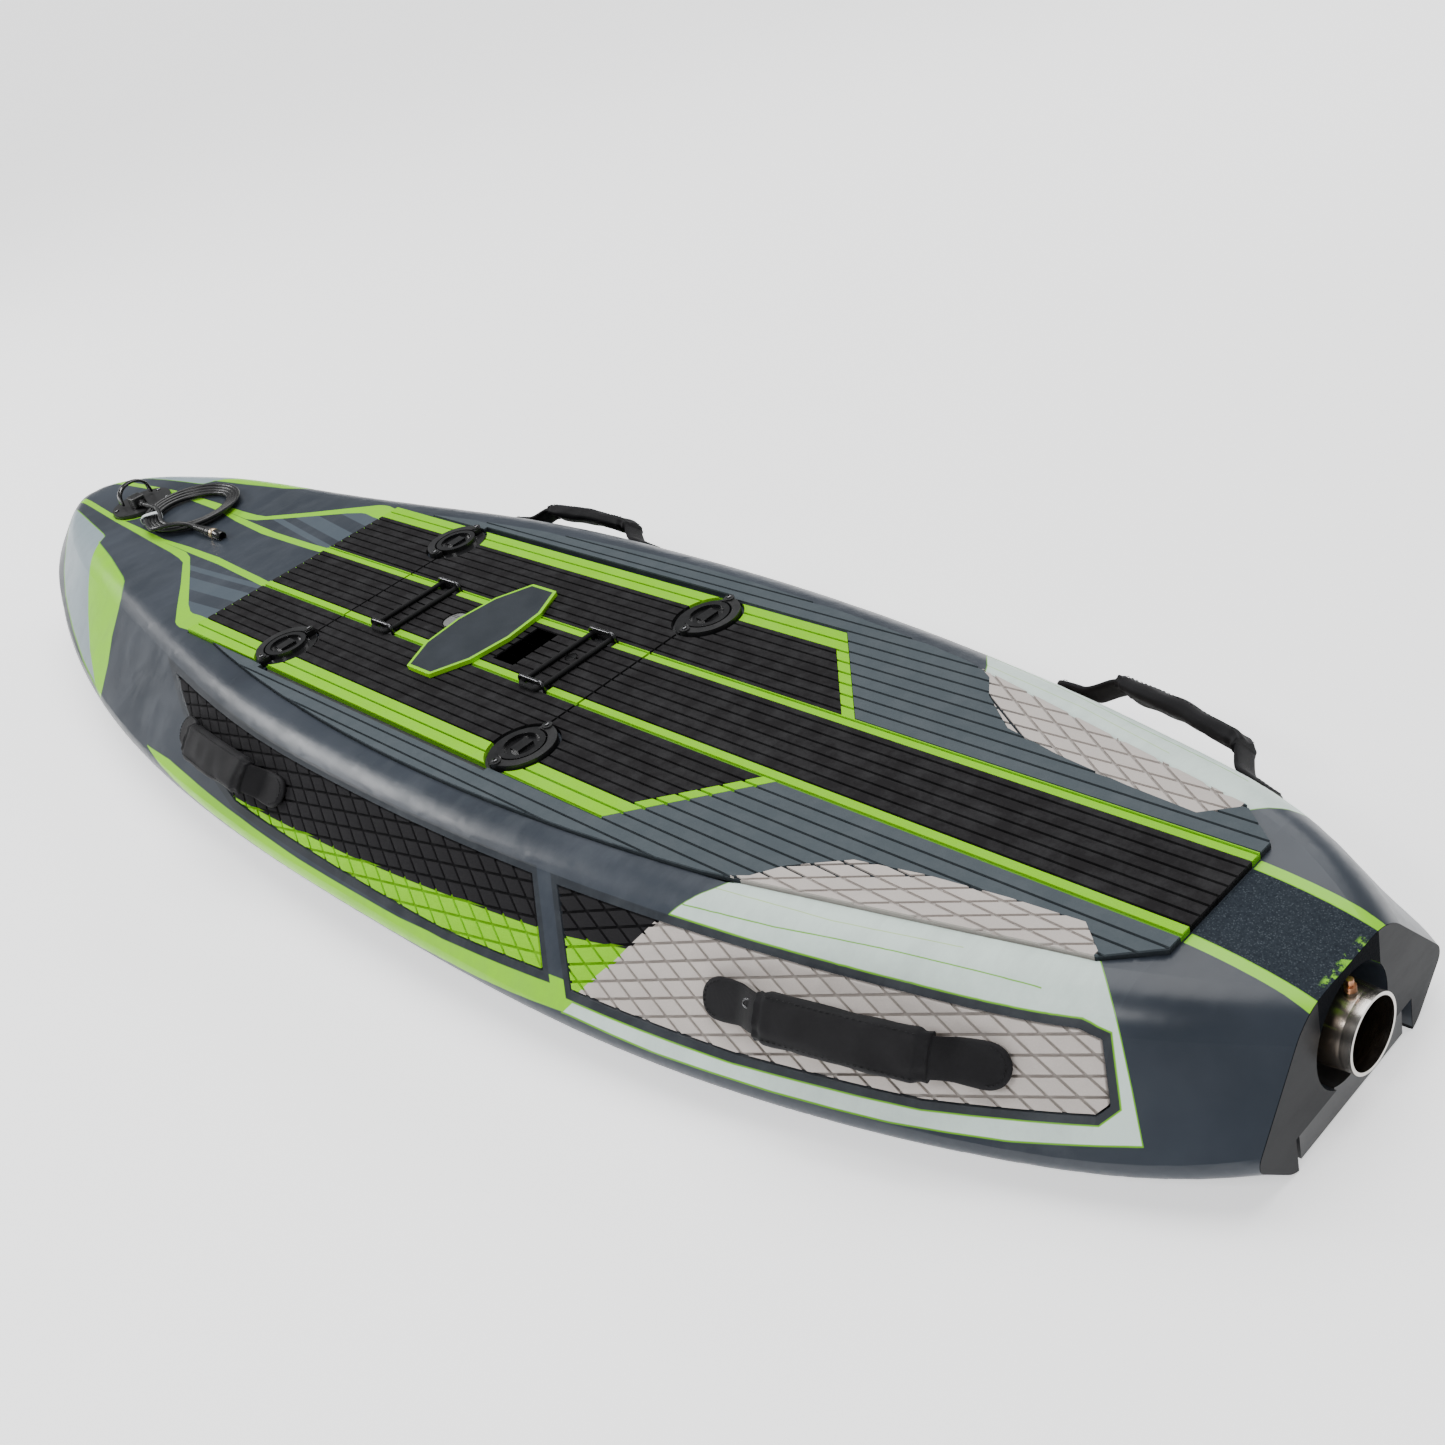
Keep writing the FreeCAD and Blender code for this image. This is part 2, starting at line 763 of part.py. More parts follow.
# Hatch lid with its pads
lid = new_body("lid")
lid_loop = rectangle((lid_tail_edge, lid_nose_edge), (-lid_edge, lid_edge))
pad(lid, "lid_panel", [lid_loop], S.deck_seat - S.lid_thick, S.deck_seat)
round_corners(lid, "lid_corners", S.lid_corner - S.seam_gap)
grip_loop = rectangle((S.grip_rear, S.grip_front), (-S.grip_half, S.grip_half))
pocket(lid, "lid_grip", [grip_loop], S.deck_seat, S.grip_depth)

lid_x = (lid_tail_edge, lid_nose_edge)
lid_pad = new_body("lid_pad")
pad(lid_pad, "lid_pad_sheet", strips(*lid_x), S.deck_seat, pad_top)
hole = S.hole_gap
lid_holes = latch_holes + [
    (S.cap_x, S.cap_y, S.cap_radius + hole),
    (S.button_x, S.button_y, S.button_radius + hole),
]
pocket(lid_pad, "lid_pad_holes", [grip_loop], pad_top, S.pad_thick, lid_holes)


def ring_gap(x):
    """Stretch of the line that a pair of rings takes."""
    return x - S.ring_half - S.ring_rod - hole, x + S.ring_half + S.ring_rod + hole


front_gap = ring_gap(S.ring_front_x)
rear_gap = ring_gap(S.ring_rear_x)
lime_runs = [(lid_tail_edge, rear_gap[0]), (rear_gap[1], front_gap[0]),
             (front_gap[1], lid_nose_edge)]
lime_lid_loops = [rectangle(run, (line_in, line_out)) for run in lime_runs]
lime_lid_loops.append(rectangle(lid_x, (S.band_inner, S.band_outer)))
flat_pad("lime_lid", both_sides(lime_lid_loops), latch_holes)

# Latches: a crescent base on the hull and a dished lever on the lid
for place, x, seam_hull, seam_lid, way in (
        ("front", S.latch_front_x, S.lid_front, lid_nose_edge, 1),
        ("rear", S.latch_rear_x, S.lid_rear, lid_tail_edge, -1)):
    for side, sign in (("port", 1), ("stbd", -1)):
        key = "%s_%s" % (place, side)
        y = sign * S.latch_y
        top = S.deck_seat + S.latch_height
        reach = S.latch_radius * 2
        hull_x = (seam_hull, x + reach) if way > 0 else (x - reach, seam_hull)
        lid_side_x = (x - reach, seam_lid) if way > 0 else (seam_lid, x + reach)
        across = (y - reach, y + reach)
        step = S.deck_seat + S.latch_step
        ring = cut("latch_ring_" + key,
                   cylinder_z("latch_ring_outer_" + key, S.latch_radius, x, y, S.deck_seat, top),
                   cylinder_z("latch_ring_inner_" + key, S.latch_disc + S.latch_gap, x, y,
                              S.deck_seat - 1, top + 1))
        hull_half = block("latch_hull_half_" + key, hull_x, across, (S.deck_seat, top + 1))
        crescent = common("latch_crescent_" + key, ring, hull_half)
        boss_x = seam_hull + way * (S.latch_boss + 1)
        bosses = [cylinder_z("latch_boss_%s_%d" % (key, end), S.latch_boss, boss_x,
                             y + end * S.latch_boss_y, S.deck_seat, top + 1.5)
                  for end in (-1, 1)]
        fuse("latch_base_" + key, [crescent] + bosses)

        foot = common("latch_foot_" + key,
                      cylinder_z("latch_foot_disc_" + key, S.latch_radius, x, y,
                                 S.deck_seat, step),
                      block("latch_lid_half_" + key, lid_side_x, across,
                            (S.deck_seat, step + 1)))
        disc = cylinder_z("latch_disc_" + key, S.latch_disc, x, y, S.deck_seat + 1, top)
        dish = cylinder_z("latch_dish_" + key, S.dish_radius, x, y, top - S.dish_depth, top + 1)
        lever_body = cut("latch_lever_body_" + key, fuse("latch_lever_form_" + key, [foot, disc]),
                         dish)
        tab = block("latch_tab_" + key, (x - 6, x + 6), (y - 9, y + 9),
                    (top - S.dish_depth - 0.5, top - 0.5))
        fuse("latch_lever_" + key, [lever_body, tab])

# Fittings on the lid
emblem = new_body("emblem_plate")
emblem_right = [
    (S.emblem_end, -S.emblem_half),
    (S.emblem_shoulder, -S.emblem_shoulder_y),
    (S.emblem_waist, 0.0),
    (S.emblem_shoulder, S.emblem_shoulder_y),
    (S.emblem_end, S.emblem_half),
]
emblem_loop = [(S.emblem_x + across, up) for across, up in emblem_right]
emblem_loop += [(S.emblem_x - across, up) for across, up in reversed(emblem_right)]
pad(emblem, "emblem_sheet", [emblem_loop], pad_top, pad_top + S.emblem_thick)

cylinder_z("vent_cap", S.cap_radius, S.cap_x, S.cap_y, S.deck_seat, S.deck_seat + S.cap_height)
cylinder_z("power_button", S.button_radius, S.button_x, S.button_y, S.deck_seat,
           S.deck_seat + S.button_height)

grip = new_body("grip_insert")
grip_base = S.deck_seat - S.grip_depth
slip = S.pad_gap / 2
insert_loop = rectangle((S.grip_rear + slip, S.grip_front - slip),
                        (-(S.grip_half - slip), S.grip_half - slip))
pad(grip, "grip_floor_plate", [insert_loop], grip_base, grip_base + S.grip_floor)
rib_half = S.rib_width / 2
rib_loops = [rectangle((S.grip_rear + slip, S.grip_front - slip),
                       (row * S.rib_pitch - rib_half, row * S.rib_pitch + rib_half))
             for row in (-1, 0, 1)]
pad(grip, "grip_ribs", rib_loops, grip_base, grip_base + S.grip_floor + S.rib_height)

ring_staples = []
bungee_loops = []
for x in (S.ring_front_x, S.ring_rear_x):
    bar_z = (pad_top + S.ring_height).value
    foot_z = S.deck_seat.value
    half = S.ring_half.value
    for sign in (1, -1):
        y = sign * S.ring_y.value
        corners = [VECTOR(x.value - half, y, foot_z), VECTOR(x.value - half, y, bar_z),
                   VECTOR(x.value + half, y, bar_z), VECTOR(x.value + half, y, foot_z)]
        ring_staples.append(tube(corners, S.ring_rod.value, [5.0, 5.0]))
    loop_z = (pad_top + S.bungee_radius).value + 0.3
    span = S.bungee_half.value
    reach = S.bungee_end_y.value
    corners = [VECTOR(x.value - span, -reach, loop_z), VECTOR(x.value + span, -reach, loop_z),
               VECTOR(x.value + span, reach, loop_z), VECTOR(x.value - span, reach, loop_z)]
    bungee_loops.append(tube(corners, S.bungee_radius.value, [6.0] * 4, closed=True))
as_feature("lash_rings", Part.makeCompound(ring_staples))
as_feature("bungee_loops", Part.makeCompound(bungee_loops))

# Heavy masses in the bay
block("battery", (S.battery_x - S.battery_length / 2, S.battery_x + S.battery_length / 2),
      (-(S.battery_width / 2), S.battery_width / 2),
      (S.bay_floor, S.bay_floor + S.battery_height))
cylinder_x("motor", S.motor_radius, S.motor_x, S.motor_x + S.motor_length,
           S.bay_floor + S.motor_radius)

# Water jet
housing_outer = S.bore_radius - S.housing_clear
housing_inner = housing_outer - S.housing_wall
bearing_radius = S.shaft_radius + S.shaft_clear
housing = new_body("pump_housing")
turned(housing, "housing_tube", [
    (S.housing_rear, housing_inner),
    (S.bore_front - S.housing_clear, housing_inner),
    (S.bore_front - S.housing_clear, housing_outer),
    (S.housing_rear, housing_outer),
])
turned(housing, "stator_hub", [
    (S.housing_rear - 34, 0.0),
    (S.shaft_rear - S.shaft_clear, 0.0),
    (S.shaft_rear - S.shaft_clear, bearing_radius),
    (S.stator_front, bearing_radius),
    (S.stator_front, S.stator_hub),
    (S.housing_rear, S.stator_hub),
    (S.housing_rear - 34, S.shaft_radius / 2),
])
vane_loop = rectangle((-(S.vane_thick / 2), S.vane_thick / 2),
                      (S.stator_hub - 1, housing_inner + 1))
vane_sketch = sketch(housing, "vane_profile", "YZ_Plane", [vane_loop],
                     (0, S.jet_z, S.housing_rear + 4))
vane = housing.newObject("PartDesign::Pad", "stator_vane")
vane.Profile = vane_sketch
bind(vane, "Length", S.stator_front - S.housing_rear - 8)
around_axis(housing, "stator_vanes", vane, vane_sketch, 5)

BLADE_STEPS = [(0.0, 0.0), (0.34, 34.0), (0.67, 67.0), (1.0, 100.0)]
impeller = new_body("impeller")
turned(impeller, "impeller_hub", [
    (S.impeller_rear, S.shaft_radius),
    (S.impeller_front, S.shaft_radius),
    (S.impeller_front, S.shaft_radius + 2),
    (S.impeller_front - 18, S.stator_hub),
    (S.impeller_rear, S.stator_hub),
])
blade_loop = rectangle((-(S.blade_thick / 2), S.blade_thick / 2),
                       (S.stator_hub - 2, housing_inner - S.impeller_gap))
blade_start = S.impeller_rear + 3
blade_run = S.impeller_front - 14 - blade_start
blade_sections = []
for share, turn in BLADE_STEPS:
    section = sketch(impeller, "blade_section_%d" % round(turn), "YZ_Plane", [blade_loop],
                     (0, S.jet_z, blade_start + blade_run * share))
    section.AttachmentOffset = FreeCAD.Placement(
        section.AttachmentOffset.Base, FreeCAD.Rotation(VECTOR(0, 0, 1), turn))
    blade_sections.append(section)
blade = impeller.newObject("PartDesign::AdditiveLoft", "impeller_blade")
blade.Profile = blade_sections[0]
blade.Sections = blade_sections[1:]
blade.Ruled = True
around_axis(impeller, "impeller_blades", blade, blade_sections[0], 4)
cylinder_x("shaft", S.shaft_radius, S.shaft_rear, S.shaft_front, S.jet_z)

nozzle_form = new_body("nozzle_form")
rim = S.nozzle_rim_radius
rim_x = S.nozzle_rim_x
flange_x = S.housing_rear - S.housing_clear
turned(nozzle_form, "nozzle_wall_ring", [
    (rim_x, rim - S.nozzle_wall),
    (rim_x + 42, rim + 0.5),
    (flange_x - 17, housing_inner),
    (flange_x, housing_inner),
    (flange_x, housing_outer),
    (flange_x - 17, housing_outer),
    (rim_x + 42, rim + S.nozzle_wall + 0.5),
    (rim_x + S.nozzle_band, rim),
    (rim_x, rim),
])
bolt_x = rim_x + S.nozzle_bolt_set
boss_top = S.jet_z + rim + 3
fuse("nozzle", [nozzle_form, cylinder_z("nozzle_boss", 4.5, bolt_x, 0.0,
                                        S.jet_z + rim - 1.2, boss_top)])
fuse("nozzle_bolt", [cylinder_z("bolt_head", 4.0, bolt_x, 0.0, boss_top, boss_top + 4),
                     cylinder_z("bolt_tip", 2.5, bolt_x, 0.0, boss_top + 4, boss_top + 9)])

ride_form = block("ride_plate_form", (S.transom_x + 3, ride_front - 0.3),
                  (-S.ride_half, S.ride_half), (S.ride_base, S.ride_top + 1.3))
cut("ride_plate", ride_form, cylinder_x("ride_hollow", S.cavity_radius, beyond,
                                        S.cavity_front, S.jet_z))

grate = new_body("intake_grate")
grate_gap = S.grate_seat_gap
grate_loop = rectangle((grate_x[0] + grate_gap, grate_x[1] - grate_gap),
                       (-(grate_half - grate_gap), grate_half - grate_gap))
pad(grate, "grate_plate", [grate_loop], 0.3, S.grate_thick + 0.3)
slot_sketch = sketch(grate, "grate_slot_outline", "XY_Plane", [rectangle(
    (S.duct_mouth_rear, S.duct_front),
    (-(S.grate_pitch * 2.5 + S.grate_slot / 2), S.grate_slot / 2 - S.grate_pitch * 2.5))],
    (0, 0, S.grate_thick + 2))
slot = grate.newObject("PartDesign::Pocket", "grate_slot")
slot.Profile = slot_sketch
bind(slot, "Length", S.grate_thick + 4)
slots = grate.newObject("PartDesign::LinearPattern", "grate_slots")
slots.Originals = [slot]
slots.Direction = (slot_sketch, ["V_Axis"])
bind(slots, "Length", S.grate_pitch * 5)
slots.Occurrences = 6
grate.Tip = slots

fin_body = new_body("fin_boxes")
fin_clear = S.grate_seat_gap
fin_loop = rectangle((S.fin_rear + fin_clear, S.fin_front - fin_clear),
                     (S.fin_y - S.fin_box_half + fin_clear, S.fin_y + S.fin_box_half - fin_clear))
slot_loop = rectangle((S.fin_rear + S.fin_wall, S.fin_front - S.fin_wall),
                      (S.fin_y - S.fin_slot_half, S.fin_y + S.fin_slot_half))
pad(fin_body, "fin_box_blocks", both_sides([fin_loop]), 0.3, S.fin_depth - fin_clear)
pocket(fin_body, "fin_box_slots", both_sides([slot_loop]), S.fin_slot_depth, S.fin_slot_depth + 1)

# Nose socket with its bail
base_top = S.nose_seat + S.nose_base_height
cylinder_z("nose_base", S.nose_base_radius, S.nose_x, 0.0, S.nose_seat, base_top)
bail = new_body("nose_bail")
bail_in = S.bail_half - S.bail_thick
bail_in_top = base_top + S.bail_height - S.bail_thick
bail_loop = [
    (S.bail_half, base_top),
    (S.bail_half, base_top + S.bail_height * 0.6),
    (S.bail_half * 0.5, base_top + S.bail_height),
    (-(S.bail_half * 0.5), base_top + S.bail_height),
    (-S.bail_half, base_top + S.bail_height * 0.6),
    (-S.bail_half, base_top),
    (-bail_in, base_top),
    (-bail_in, base_top + S.bail_height * 0.55),
    (-(bail_in * 0.5), bail_in_top),
    (bail_in * 0.5, bail_in_top),
    (bail_in, base_top + S.bail_height * 0.55),
    (bail_in, base_top),
]
bail_sketch = sketch(bail, "bail_profile", "YZ_Plane", [bail_loop],
                     (0, 0, S.nose_x + 12 - S.bail_width / 2))
bail_pad = bail.newObject("PartDesign::Pad", "bail_strap")
bail_pad.Profile = bail_sketch
bind(bail_pad, "Length", S.bail_width)
bail.Tip = bail_pad
block("cord_socket", (S.socket_x - S.socket_length, S.socket_x),
      (S.socket_y - S.socket_half, S.socket_y + S.socket_half),
      (base_top, base_top + S.socket_height))

# Lead: gland, first stretch, coil, tie, last stretch and plug
CORD_RADIUS = 2.9
COIL_CENTRE = (668.0, -21.0)
COIL_INNER = 42.0
COIL_OUTER = 72.0
COIL_HEIGHT = 13.0
NOSE_SLOPE = 0.0468


def over_nose(x, y, height):
    """Point above the sloping nose deck."""
    return VECTOR(x, y, 147.0 + NOSE_SLOPE * (x - 660.0) + height)


socket_face = (S.socket_x - S.socket_length).value
gland_end = VECTOR(socket_face - 9, S.socket_y.value, base_top.value + 5.4)
gland = Part.makeCone(5.2, 3.6, 9, VECTOR(socket_face, gland_end.y, gland_end.z),
                      VECTOR(-1, 0, 0))
as_feature("cord_gland", gland)
ring_profile = Part.makePolygon([VECTOR(r, 0, z) for r, z in (
    (COIL_INNER, 0), (COIL_OUTER - 5, 0), (COIL_OUTER, 4), (COIL_OUTER, COIL_HEIGHT - 4),
    (COIL_OUTER - 5, COIL_HEIGHT), (COIL_INNER + 4, COIL_HEIGHT), (COIL_INNER, COIL_HEIGHT - 4),
    (COIL_INNER, 0))])
coil_shape = Part.Face(ring_profile).revolve(VECTOR(), VECTOR(0, 0, 1), 360)
coil_place = FreeCAD.Placement(
    over_nose(COIL_CENTRE[0], COIL_CENTRE[1], 0.6),
    FreeCAD.Rotation(VECTOR(0, 1, 0), -math.degrees(math.atan(NOSE_SLOPE))))
coil = as_feature("cord_coil", coil_shape, coil_place)


def on_coil(angle, radius, height):
    """Point at an angle round the coil's own frame."""
    turn = math.radians(angle)
    return coil_place.multVec(VECTOR(radius * math.cos(turn), radius * math.sin(turn), height))


lead_points = [
    gland_end,
    gland_end + VECTOR(-6, -0.3, -0.4),
    on_coil(23, COIL_OUTER - 0.6, 8.0),
]
tail_points = [
    on_coil(37, COIL_INNER, 8.0),
    on_coil(40, 30.0, 12.0),
    over_nose(678, 10, 17.5),
    over_nose(660, 14, 20.5),
    over_nose(640, 15, 20.5),
    over_nose(620, 12, 20.0),
    over_nose(604, 8, 18.0),
]


def cord_tube(name, points):
    """Plain tube of the lead's size; prints its radii and how its volume compares."""
    path = rounded_path(points)
    shape = tube(points, CORD_RADIUS)
    radii = [bend_radius(*points[i - 1:i + 2]) for i in range(1, len(points) - 1)]
    full = math.pi * CORD_RADIUS ** 2 * path.Length
    print(name, "length %.1f" % path.Length, "volume ratio %.4f" % (shape.Volume / full),
          "radii", ["%.1f" % radius for radius in radii])
    return as_feature(name, shape)


cord_tube("cord_lead", lead_points)
cord_tube("cord_tail", tail_points)
plug_start = tail_points[-1]
plug_way = VECTOR(-62, -8, -8).normalize()
PLUG = [(3.6, 5.6, 26.0), (6.4, 6.4, 12.0), (5.2, 5.2, 20.0)]
reach = 0.0
plug_solids = []
for first, last, length in PLUG:
    spot = plug_start + plug_way * reach
    if first == last:
        plug_solids.append(Part.makeCylinder(first, length, spot, plug_way))
    else:
        plug_solids.append(Part.makeCone(first, last, length, spot, plug_way))
    reach += length
plug_shape = plug_solids[0].fuse(plug_solids[1:]).removeSplitter()
as_feature("cord_plug", plug_shape)
tie_outer = Part.makeBox(COIL_OUTER - COIL_INNER + 3.6, 12, COIL_HEIGHT + 1.8,
                         VECTOR(COIL_INNER - 1.8, -6, -0.2))
tie_shape = tie_outer.cut(coil_shape)
as_feature("cord_tie", tie_shape, coil_place.multiply(
    FreeCAD.Placement(VECTOR(), FreeCAD.Rotation(VECTOR(0, 0, 1), 52))))

# Carry handles, bowed out from the side pads
# x of the two ends, height on the side, lift off the chord, rise of the sleeve's inner face
HANDLES = [("front", 255.0, 8.0, 91.0, 2.55, 14.5), ("rear", -558.0, -797.0, 84.0, 4.15, 18.5)]


def side_point(x, z):
    """Point on the slanted side between the deck edge and the rail."""
    for fore, aft in zip(STATIONS, STATIONS[1:]):
        if aft[0] <= x <= fore[0]:
            share = (fore[0] - x) / (fore[0] - aft[0])
            mix = [a + (b - a) * share for a, b in zip(fore, aft)]
            _, deck_half, deck_z, rail_half, rail_z, _, _ = mix
            down = (deck_z - z) / (deck_z - rail_z)
            return VECTOR(x, deck_half + (rail_half - deck_half) * down, z)
    raise ValueError("no station at this x")


def handle_body(name, inner):
    """Strap handle in its own frame: length along X, its sleeve standing out along Z."""
    body = new_body(name)
    half = S.handle_length / 2
    tab = S.handle_tab
    thick = S.handle_tab_thick
    outer = inner + S.sleeve_thick
    sleeve = S.sleeve_half
    bow = S.handle_bow
    aft = [
        (-half, 0.0),
        (-half + tab, bow),
        (-sleeve - 2, inner - 6),
        (-sleeve + 14, inner),
    ]
    fore_inner = [(-as_size(x), z) for x, z in reversed(aft)]
    fore_outer = [
        (half, thick),
        (half - tab + 6, thick + bow),
        (sleeve + 4, outer - 10),
        (sleeve - 16, outer - 1),
        (0.0, outer + 2),
    ]
    aft_outer = [(-as_size(x), z) for x, z in reversed(fore_outer[:-1])]
    loop = aft + fore_inner + fore_outer + aft_outer
    side_pad_extrusion(body, name + "_strap", loop, S.handle_width / 2)
    return body


for place, fore_x, aft_x_end, height, lift, rise in HANDLES:
    fore = side_point(fore_x, height)
    aft = side_point(aft_x_end, height)
    up_fore = side_point(fore_x, height + 10) - fore
    along = (fore - aft).normalize()
    out = along.cross(up_fore).normalize() * -1
    if out.y < 0:
        out = out * -1
    body = handle_body("carry_handle_%s_port" % place, rise)
    middle = (fore + aft) * 0.5
    across = out.cross(along)
    turn = FreeCAD.Rotation(along, across, out, "ZXY")
    body.Placement = FreeCAD.Placement(middle + out * lift, turn)
    mirror_body("carry_handle_%s_stbd" % place, body)

SUBPARTS = [
    "hull", "front_pad", "lime_front", "aft_pad", "lime_aft", "grey_pad_port",
    "grey_pad_stbd", "rail_pad_front_port", "rail_pad_front_stbd", "rail_pad_rear_port",
    "rail_pad_rear_stbd", "carry_handle_front_port", "carry_handle_front_stbd",
    "carry_handle_rear_port", "carry_handle_rear_stbd", "latch_base_front_port",
    "latch_base_front_stbd", "latch_base_rear_port", "latch_base_rear_stbd",
    "battery", "motor", "pump_housing", "nozzle", "nozzle_bolt", "ride_plate",
    "intake_grate", "fin_boxes", "nose_base", "nose_bail", "cord_socket", "cord_gland",
    "cord_lead", "cord_coil", "cord_tie", "cord_tail", "cord_plug",
    "lid", "lid_pad", "lime_lid", "latch_lever_front_port", "latch_lever_front_stbd",
    "latch_lever_rear_port", "latch_lever_rear_stbd", "emblem_plate", "vent_cap",
    "power_button", "grip_insert", "lash_rings", "bungee_loops",
    "impeller", "shaft",
]
doc.recompute()
for thing in doc.Objects:
    if "Invalid" in thing.State or "Error" in thing.State:
        raise RuntimeError("%s failed: %s" % (thing.Name, thing.State))
subparts = []
for label in SUBPARTS:
    thing = doc.getObjectsByLabel(label)[0]
    shape = thing.Shape
    if shape.isNull() or not shape.isValid() or not shape.Solids:
        raise RuntimeError(label + " has no valid solid")
    subparts.append((label, shape))
os.makedirs("parts", exist_ok=True)
for label, shape in subparts:
    shape.exportStep("parts/%s.step" % label)
    print(label, len(shape.Solids), "%.0f mm3" % shape.Volume)
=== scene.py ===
import math

import bmesh
import bpy
from mathutils import Matrix, Vector, noise


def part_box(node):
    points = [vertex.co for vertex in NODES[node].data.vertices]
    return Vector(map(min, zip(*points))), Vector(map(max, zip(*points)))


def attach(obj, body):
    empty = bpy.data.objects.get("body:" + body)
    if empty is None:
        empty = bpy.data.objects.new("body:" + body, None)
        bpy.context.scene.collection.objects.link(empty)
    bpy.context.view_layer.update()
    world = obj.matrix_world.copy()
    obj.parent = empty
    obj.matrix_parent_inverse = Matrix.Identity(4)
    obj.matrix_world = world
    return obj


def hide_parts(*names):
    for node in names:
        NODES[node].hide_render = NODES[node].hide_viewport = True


# Looks for the jet surfboard: hull paint, grooved foam pads, soft handles,
# coiled lead, latches and jet. Lengths below are in millimetres unless said.
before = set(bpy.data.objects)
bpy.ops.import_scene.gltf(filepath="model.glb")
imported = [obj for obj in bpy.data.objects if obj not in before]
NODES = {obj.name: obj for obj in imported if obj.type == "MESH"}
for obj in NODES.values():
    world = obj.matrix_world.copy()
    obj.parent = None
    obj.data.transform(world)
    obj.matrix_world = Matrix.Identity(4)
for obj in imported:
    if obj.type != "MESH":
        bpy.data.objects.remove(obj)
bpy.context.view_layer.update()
MM = 0.001
SIDES = (("port", 1), ("stbd", -1))


# Camera at the photograph's place
CAMERA_AXES = (
    (-0.67192, -0.69753, -0.24895),
    (0.24107, -0.52381, 0.81701),
    (-0.70029, 0.48895, 0.52011),
)
CAMERA_PLACE = (-1.35911, 0.69009, 0.86733)
camera_data = bpy.data.cameras.new("camera")
camera_data.sensor_width = 36.0
camera_data.lens = 41.0231
camera_data.clip_start = 0.05
camera_data.clip_end = 60.0
camera = bpy.data.objects.new("camera", camera_data)
bpy.context.scene.collection.objects.link(camera)
camera.matrix_world = Matrix.Translation(CAMERA_PLACE) @ Matrix(CAMERA_AXES).transposed().to_4x4()
bpy.context.scene.camera = camera


class Field:
    """A number that varies over a material, so that masks read like sums."""
    def __init__(self, paint, socket):
        self.paint = paint
        self.socket = socket

    def __add__(self, other):
        return self.paint.math("ADD", self, other)

    def __sub__(self, other):
        return self.paint.math("SUBTRACT", self, other)

    def __rsub__(self, other):
        return self.paint.math("SUBTRACT", other, self)

    def __mul__(self, other):
        return self.paint.math("MULTIPLY", self, other)

    def __abs__(self):
        return self.paint.math("ABSOLUTE", self)

    def over(self, other, soft=0.5):
        """1 where this is more than other, with an edge of that softness."""
        gain = 1.0 / soft
        return self.paint.math("MULTIPLY_ADD", self - other, gain, 0.5, clamp=True)

    def under(self, other, soft=0.5):
        """1 where this is less than other."""
        return self.paint.math("MULTIPLY_ADD", self - other, -1.0 / soft, 0.5, clamp=True)

    def between(self, low, high, soft=0.5):
        return self.over(low, soft) * self.under(high, soft)

    def least(self, other):
        return self.paint.math("MINIMUM", self, other)

    def most(self, other):
        return self.paint.math("MAXIMUM", self, other)

    def bar(self, pitch, share):
        """1 over a share of each pitch along this field."""
        turn = self.paint.math("FRACT", self * (1.0 / pitch))
        return turn.under(share, 0.04)


